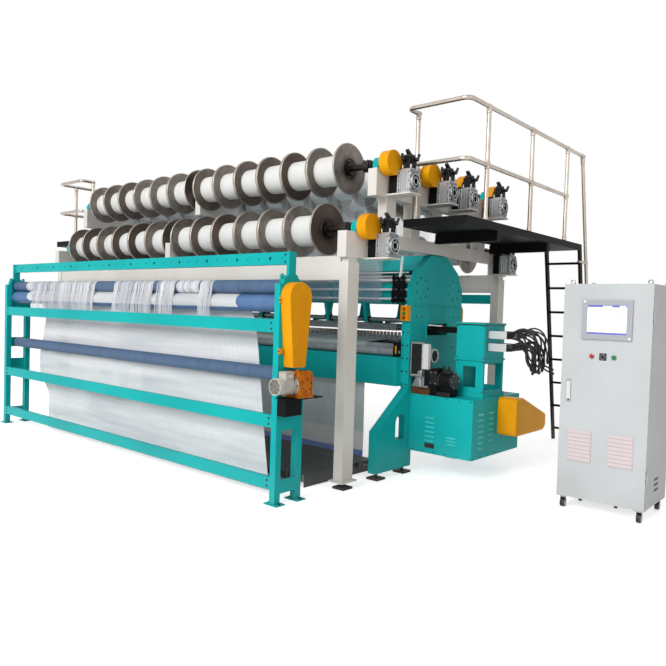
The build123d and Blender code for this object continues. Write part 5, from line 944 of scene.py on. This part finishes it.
def cable(name, route, radius, plugR, plugL):
    data = bpy.data.curves.new(name, "CURVE")
    data.dimensions = "3D"
    line = data.splines.new("NURBS")
    line.points.add(len(route) - 1)
    for spot, point in zip(line.points, route):
        spot.co = (*at(*point), 1)
    line.order_u = 3
    line.use_endpoint_u = True
    line.resolution_u = 10
    piece = bpy.data.objects.new(name, data)
    bpy.context.scene.collection.objects.link(piece)
    run = [v.co for v in bpy.data.meshes.new_from_object(piece).vertices]
    length = sum((b - a).length for a, b in zip(run, run[1:]))
    data.bevel_depth = radius / 1000
    data.bevel_resolution = 3
    data.use_fill_caps = True
    data.materials.append(cableRubber)
    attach(piece, "machine")
    a, b = Vector(route[-2]), Vector(route[-1])
    way = (b - a).normalized()
    parts = [rod(b - way * plugL * 0.45, b + way * 2, radius * 1.05, 14, 1, plugR * 0.85),
             rod(b, b + way * plugL, plugR, 18, 2), rod(b + way * plugL * 0.3, b + way * plugL * 0.75, plugR * 1.12, 8, 1)]
    plug = settle(join(parts), name + "_plug", blackPlastic)
    tuple(at(*route[0]))
    return piece


for index, (y, z, steps) in enumerate(cables["routes"], start=1):
    route = [(cables["x"], y, z)] + [(cables["x"] + out, y, z + up) for out, up in steps]
    lead = cable(f"actuator_cable_{index}", route, cables["r"], cables["plugR"], cables["plugL"])
    if index == 1:
        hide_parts("cables")

# More leads of the actuators, a dense bundle that arches over, hangs in loops or falls; lengths in mm, slopes in degrees
fan = {"x": 3475.6, "r": 8, "plugR": 12, "plugL": 40, "drift": 10, "sway": 5, "stretch": (0.88, 1.06),
       "exits": {"arch": ((-133, 1404), (-78, 1418), (-99, 1437), (117, 1402), (105, 1383), (111, 1437),
                          (-130, 1428), (-112, 1415)),
                 "loop": ((-105, 1383), (-88, 1388), (-122, 1386), (-118, 1441), (93, 1390), (132, 1418)),
                 "fall": ((-117, 1272), (-134, 1298), (-97, 1317), (-93, 1280), (-78, 1298), (99, 1268),
                          (93, 1298), (111, 1317), (-105, 1262))},
       "bends": {"arch": ((50, 0), (68, 35), (68, 14), (68, -16), (68, -46), (68, -74), (70, -92), (60, -98)),
                 "loop": ((60, 0), (70, -16), (70, -42), (75, -68), (75, -88), (80, -58), (70, -24)),
                 "fall": ((50, 0), (62, 30), (66, 8), (66, -24), (66, -54), (70, -80), (60, -96))}}
leads = [(kind, y, z) for kind, exits in fan["exits"].items() for y, z in exits]
for index, (kind, y, z) in enumerate(leads, start=1):
    spot = Vector((fan["x"], y, z))
    aside = math.radians(random.uniform(-fan["drift"], fan["drift"]))
    route, stretch = [tuple(spot)], random.uniform(*fan["stretch"])
    for step, (long, slope) in enumerate(fan["bends"][kind]):
        rise, yaw = (math.radians(slope + random.uniform(-fan["sway"], fan["sway"])), aside) if step else (0, 0)
        flat = math.cos(rise)
        spot = spot + long * stretch * Vector((flat * math.cos(yaw), flat * math.sin(yaw), math.sin(rise)))
        route.append(tuple(spot))
    cable(f"actuator_lead_{index}", route, fan["r"], fan["plugR"], fan["plugL"])
print("cables hung")


# Cloth web from the bed, over the take-down roller, under the floor plate and up to the take-up roller
def arc(y, z, r, first, last, steps):
    turns = [math.radians(first + (last - first) * i / steps) for i in range(steps + 1)]
    return [(y + r * math.cos(t), z + r * math.sin(t)) for t in turns]


def spaced(line, step):  # extra points along the straight runs
    out = [line[0]]
    for a, b in zip(line, line[1:]):
        count = max(1, round(math.dist(a, b) / step))
        out += [(a[0] + (b[0] - a[0]) * i / count, a[1] + (b[1] - a[1]) * i / count) for i in range(1, count + 1)]
    return out


web = {"half": 2060, "columns": 110, "step": 40, "thick": 1.2, "lowRight": 2221, "lean": 0.147, "lowLeft": -1740,
       "midLeft": -1985, "riseY": -2028.3, "floorRun": 1536.6, "stepZ": (450, 250), "flare": (0.33, 940, 1358),
       "rollZ": (1500, 140), "rollIn": (200, 90), "leanZ": (157, 1522)}


def part(value, start, run):  # 0 to 1 along a run
    return min(1, max(0, (value - start) / run))


def webEdges(y, z):  # the cloth has drifted towards the drive end at the stand and narrows upwards
    low = web["lowLeft"], web["lowRight"]
    if y > -2028:
        share = min(1, (y - web["riseY"]) / web["floorRun"])
        return [a + (b - a) * share for a, b in zip(low, (-web["half"], web["half"]))]
    roll, (slope, bottom, top) = part(z, *web["rollZ"]), web["flare"]
    left = low[0] + (web["midLeft"] - low[0]) * part(z, *web["stepZ"])
    left += slope * max(0, min(z, top) - bottom) - web["rollIn"][0] * roll
    return left, low[1] - web["lean"] * (min(z, web["leanZ"][1]) - web["leanZ"][0]) - web["rollIn"][1] * roll


line = [(-94.7, 1304), (-450, 1281.7)] + arc(-450, 1240, 41.7, 90, 180, 8)[1:]
line += [(-491.7, 31), (-2028.3, 31), (-2028.3, 1640)] + arc(machine["rollerY"], 1640, 76.7, 0, 210, 24)[1:]
line = spaced(line, web["step"])
length = sum(math.dist(a, b) for a, b in zip(line, line[1:])) / 1000
points = []
for y, z in line:
    left, right = webEdges(y, z)
    calm = part(-z, -1560, 260) if y < -2000 else part(-z, -1180, 260) if abs(y + 491.7) < 1 else 0  # flat at the rollers
    for i in range(web["columns"] + 1):
        x = left + (right - left) * i / web["columns"]
        fold = noise.noise((x / 320, z / 620, y / 2000)) + 0.5 * noise.noise((x / 90 + z / 400, z / 260, 7))
        points.append(at(x, y + calm * 9 * max(0, 0.4 + fold), z))
cloth = mesh("knit_web", points, quads(len(line) - 1, web["columns"]))
area = sum(face.area for face in cloth.data.polygons)
modify(cloth, "SOLIDIFY", thickness=web["thick"] / 1000, offset=0)
cloth.data.materials.append(net)
cloth.data.materials.append(hemNetShaded)
# faces on the machine side take the greyer copy of the net: painted shade
for face in cloth.data.polygons:
    face.material_index = 1 if face.center.y * 1000 + shared["midY"] > -600 else 0
settle(cloth, "knit_web", smooth=60)
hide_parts("knit_fabric")

# Loose strips of net over the press roller, in narrow ribbons with uneven ends
strips = {"lay": ((-1890, 345), (-1520, 350), (-1160, 370), (-775, 330), (-45, 330), (310, 350), (735, 290), (1415, 180)),
          "ribbon": 17, "taper": 0.36, "thick": 0.8, "r": 61.3, "z": 1780, "end": 1452}
for index, (left, width) in enumerate(strips["lay"], start=1):
    points, faces, area, x = [], [], 0, left
    while x < left + width:
        wide = strips["ribbon"] * random.uniform(0.85, 1.1)
        line = arc(machine["rollerY"], strips["z"], strips["r"] + random.uniform(0, 1.2), 25 + random.uniform(-8, 8), 180, 16)
        line += spaced([(-2168.5, 1750), (-2187, 1650), (-2189 - random.uniform(0, 4), 1600),
                        (-2190, strips["end"] + random.uniform(-26, 40))], 36)
        sway, start = random.uniform(-5, 5), len(points)
        for step, (y, z) in enumerate(line):
            swing = sway * max(0, (1720 - z) / 270) ** 2
            ripple = 2.5 * max(0, noise.noise((x / 30, z / 50, 3))) if z < 1640 else 0
            slim = wide * (1 - strips["taper"] * min(1, max(0, (1760 - z) / 170)))
            points += [at(x + swing, y - ripple, z), at(x + swing + slim, y - ripple * 0.3, z)]
            if step:
                area += slim * math.dist(line[step - 1], line[step])
                k = start + 2 * step
                faces.append((k - 2, k - 1, k + 1, k))
        x += wide + (random.uniform(0.3, 2.2) if random.random() < 0.8 else random.uniform(5, 13))
    strip = modify(mesh(f"net_strip_{index}", points, faces), "SOLIDIFY", thickness=strips["thick"] / 1000, offset=0)
    settle(strip, f"net_strip_{index}", stripNet, smooth=60)

# Crinkled net wound on the press roller
wraps = {"lay": ((-2100, -1900), (1050, 1390)), "round": 72, "long": 40, "r": 60.7, "thick": 0.6}
for index, (left, right) in enumerate(wraps["lay"], start=1):
    points = []
    for i in range(wraps["long"] + 1):
        x = left + (right - left) * i / wraps["long"]
        for k in range(wraps["round"]):
            turn = 2 * math.pi * k / wraps["round"]
            r = wraps["r"] + 0.8 * max(0, noise.noise((x / 22, 2.4 * math.cos(turn), 2.4 * math.sin(turn))) + 0.3)
            points.append(at(x, machine["rollerY"] + r * math.cos(turn), 1780 + r * math.sin(turn)))
    skin = mesh(f"roller_wrap_{index}", points, quads(wraps["long"], wraps["round"], True))
    wrap = modify(skin, "SOLIDIFY", thickness=wraps["thick"] / 1000, offset=0)
    settle(wrap, f"roller_wrap_{index}", stripNet, "press_roller", 60)
print("cloth laid")

# Warp threads from the section beams down to the guide bars
warp = {"r": 146.3, "turns": ((-443.3, 1938.3), (-416.7, 1938.3), (-403, 1938.3)), "low": 1700,
        "wide": 313.6, "ends": 40, "thick": 1.0, "stray": 1.2}
points, faces, looks = [], [], []
for index, (y, z) in enumerate(rows):
    turnY, turnZ = warp["turns"][index if index < 3 else 5 - index]
    side = -1 if index < 3 else 1
    dy, dz = turnY - side * -y, turnZ - z  # worked out on the front side, then mirrored
    away = math.hypot(dy, dz)
    lean = math.atan2(dz, dy) + (-1 if index in (2, 3) else 1) * math.acos(warp["r"] / away)
    leave = (-abs(y) + warp["r"] * math.cos(lean), z + warp["r"] * math.sin(lean))
    run = [leave, (turnY, turnZ), (turnY, warp["low"])]
    for left in spoolLefts:
        for step in range(warp["ends"]):
            x = left + (machine["spool"] - warp["wide"]) / 2 + warp["wide"] * (step + 0.5) / warp["ends"]
            x += random.uniform(-warp["stray"], warp["stray"])
            start = len(points)
            for ty, tz in run:
                for turn in (0, 2.094, 4.189):
                    rise = warp["thick"] * 0.7 * math.sin(turn)
                    points.append(at(x + warp["thick"] * math.cos(turn), -side * ty + rise, tz + rise))
            for level in range(2):
                for k in range(3):
                    n, base = (k + 1) % 3, start + 3 * level
                    faces.append((base + k, base + n, base + 3 + n, base + 3 + k))
                    looks.append(level)
threads = mesh("warp_threads", points, faces)
threads.data.materials.append(thread)
# the lower runs, down into the guides, take the bluish painted shade
threads.data.materials.append(threadInShade)
threads.data.polygons.foreach_set("material_index", looks)
settle(threads, "warp_threads")
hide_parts("warp_sheets")
print("warp threaded")


# Light: a broad soft key in front, a fill at the drive end, white all round
def lamp(name, spot, aim, size, power, colour=(1, 1, 1)):
    dropPick()
    bpy.ops.object.light_add(type="AREA", location=spot)
    made = bpy.context.object
    made.name = name
    made.data.size = size
    made.data.energy = power
    made.data.color = colour
    made.rotation_euler = (Vector(spot) - Vector(aim)).to_track_quat("Z", "Y").to_euler()


lamp("key", (1.5, -26.0, 14.0), (0.6, 0, 1.2), 13, 5300)
lamp("fill", (9.5, -3.0, 5), (1.0, 0, 1.4), 4, 60, (1.0, 0.9, 0.74))
world = bpy.data.worlds.new("pale surround")
bpy.context.scene.world = world
world.use_nodes = True
sky = world.node_tree
sky.nodes["Background"].inputs["Color"].default_value = tint("#FFFFFF")


def seenRays(tree):  # 1 for what the lens, a mirror or a glass shows
    rays = add(tree, "LightPath").node.outputs
    plain = add(tree, "Math", {0: rays["Is Camera Ray"], 1: rays["Is Transmission Ray"]}, operation="MAXIMUM")
    return add(tree, "Math", {0: plain, 1: rays["Is Glossy Ray"]}, operation="MAXIMUM")


level = add(sky, "MapRange", {"Value": seenRays(sky), "To Min": 0.4, "To Max": 1.0})
wire(sky.nodes["Background"], "Strength", level)
dropPick()
bpy.ops.mesh.primitive_plane_add(size=60, location=(0, 0, -0.001))
floor = bpy.context.object
floor.name = "floor"
paint, tree, skin, where = finish("plain pale floor", "#F4F4F4", 0.7)
glow = add(tree, "MapRange", {"Value": seenRays(tree), "To Min": 0.0, "To Max": 0.6})
skin.inputs["Emission Color"].default_value = tint("#FFFFFF")
wire(skin, "Emission Strength", glow)
floor.data.materials.append(paint)
print("lit")
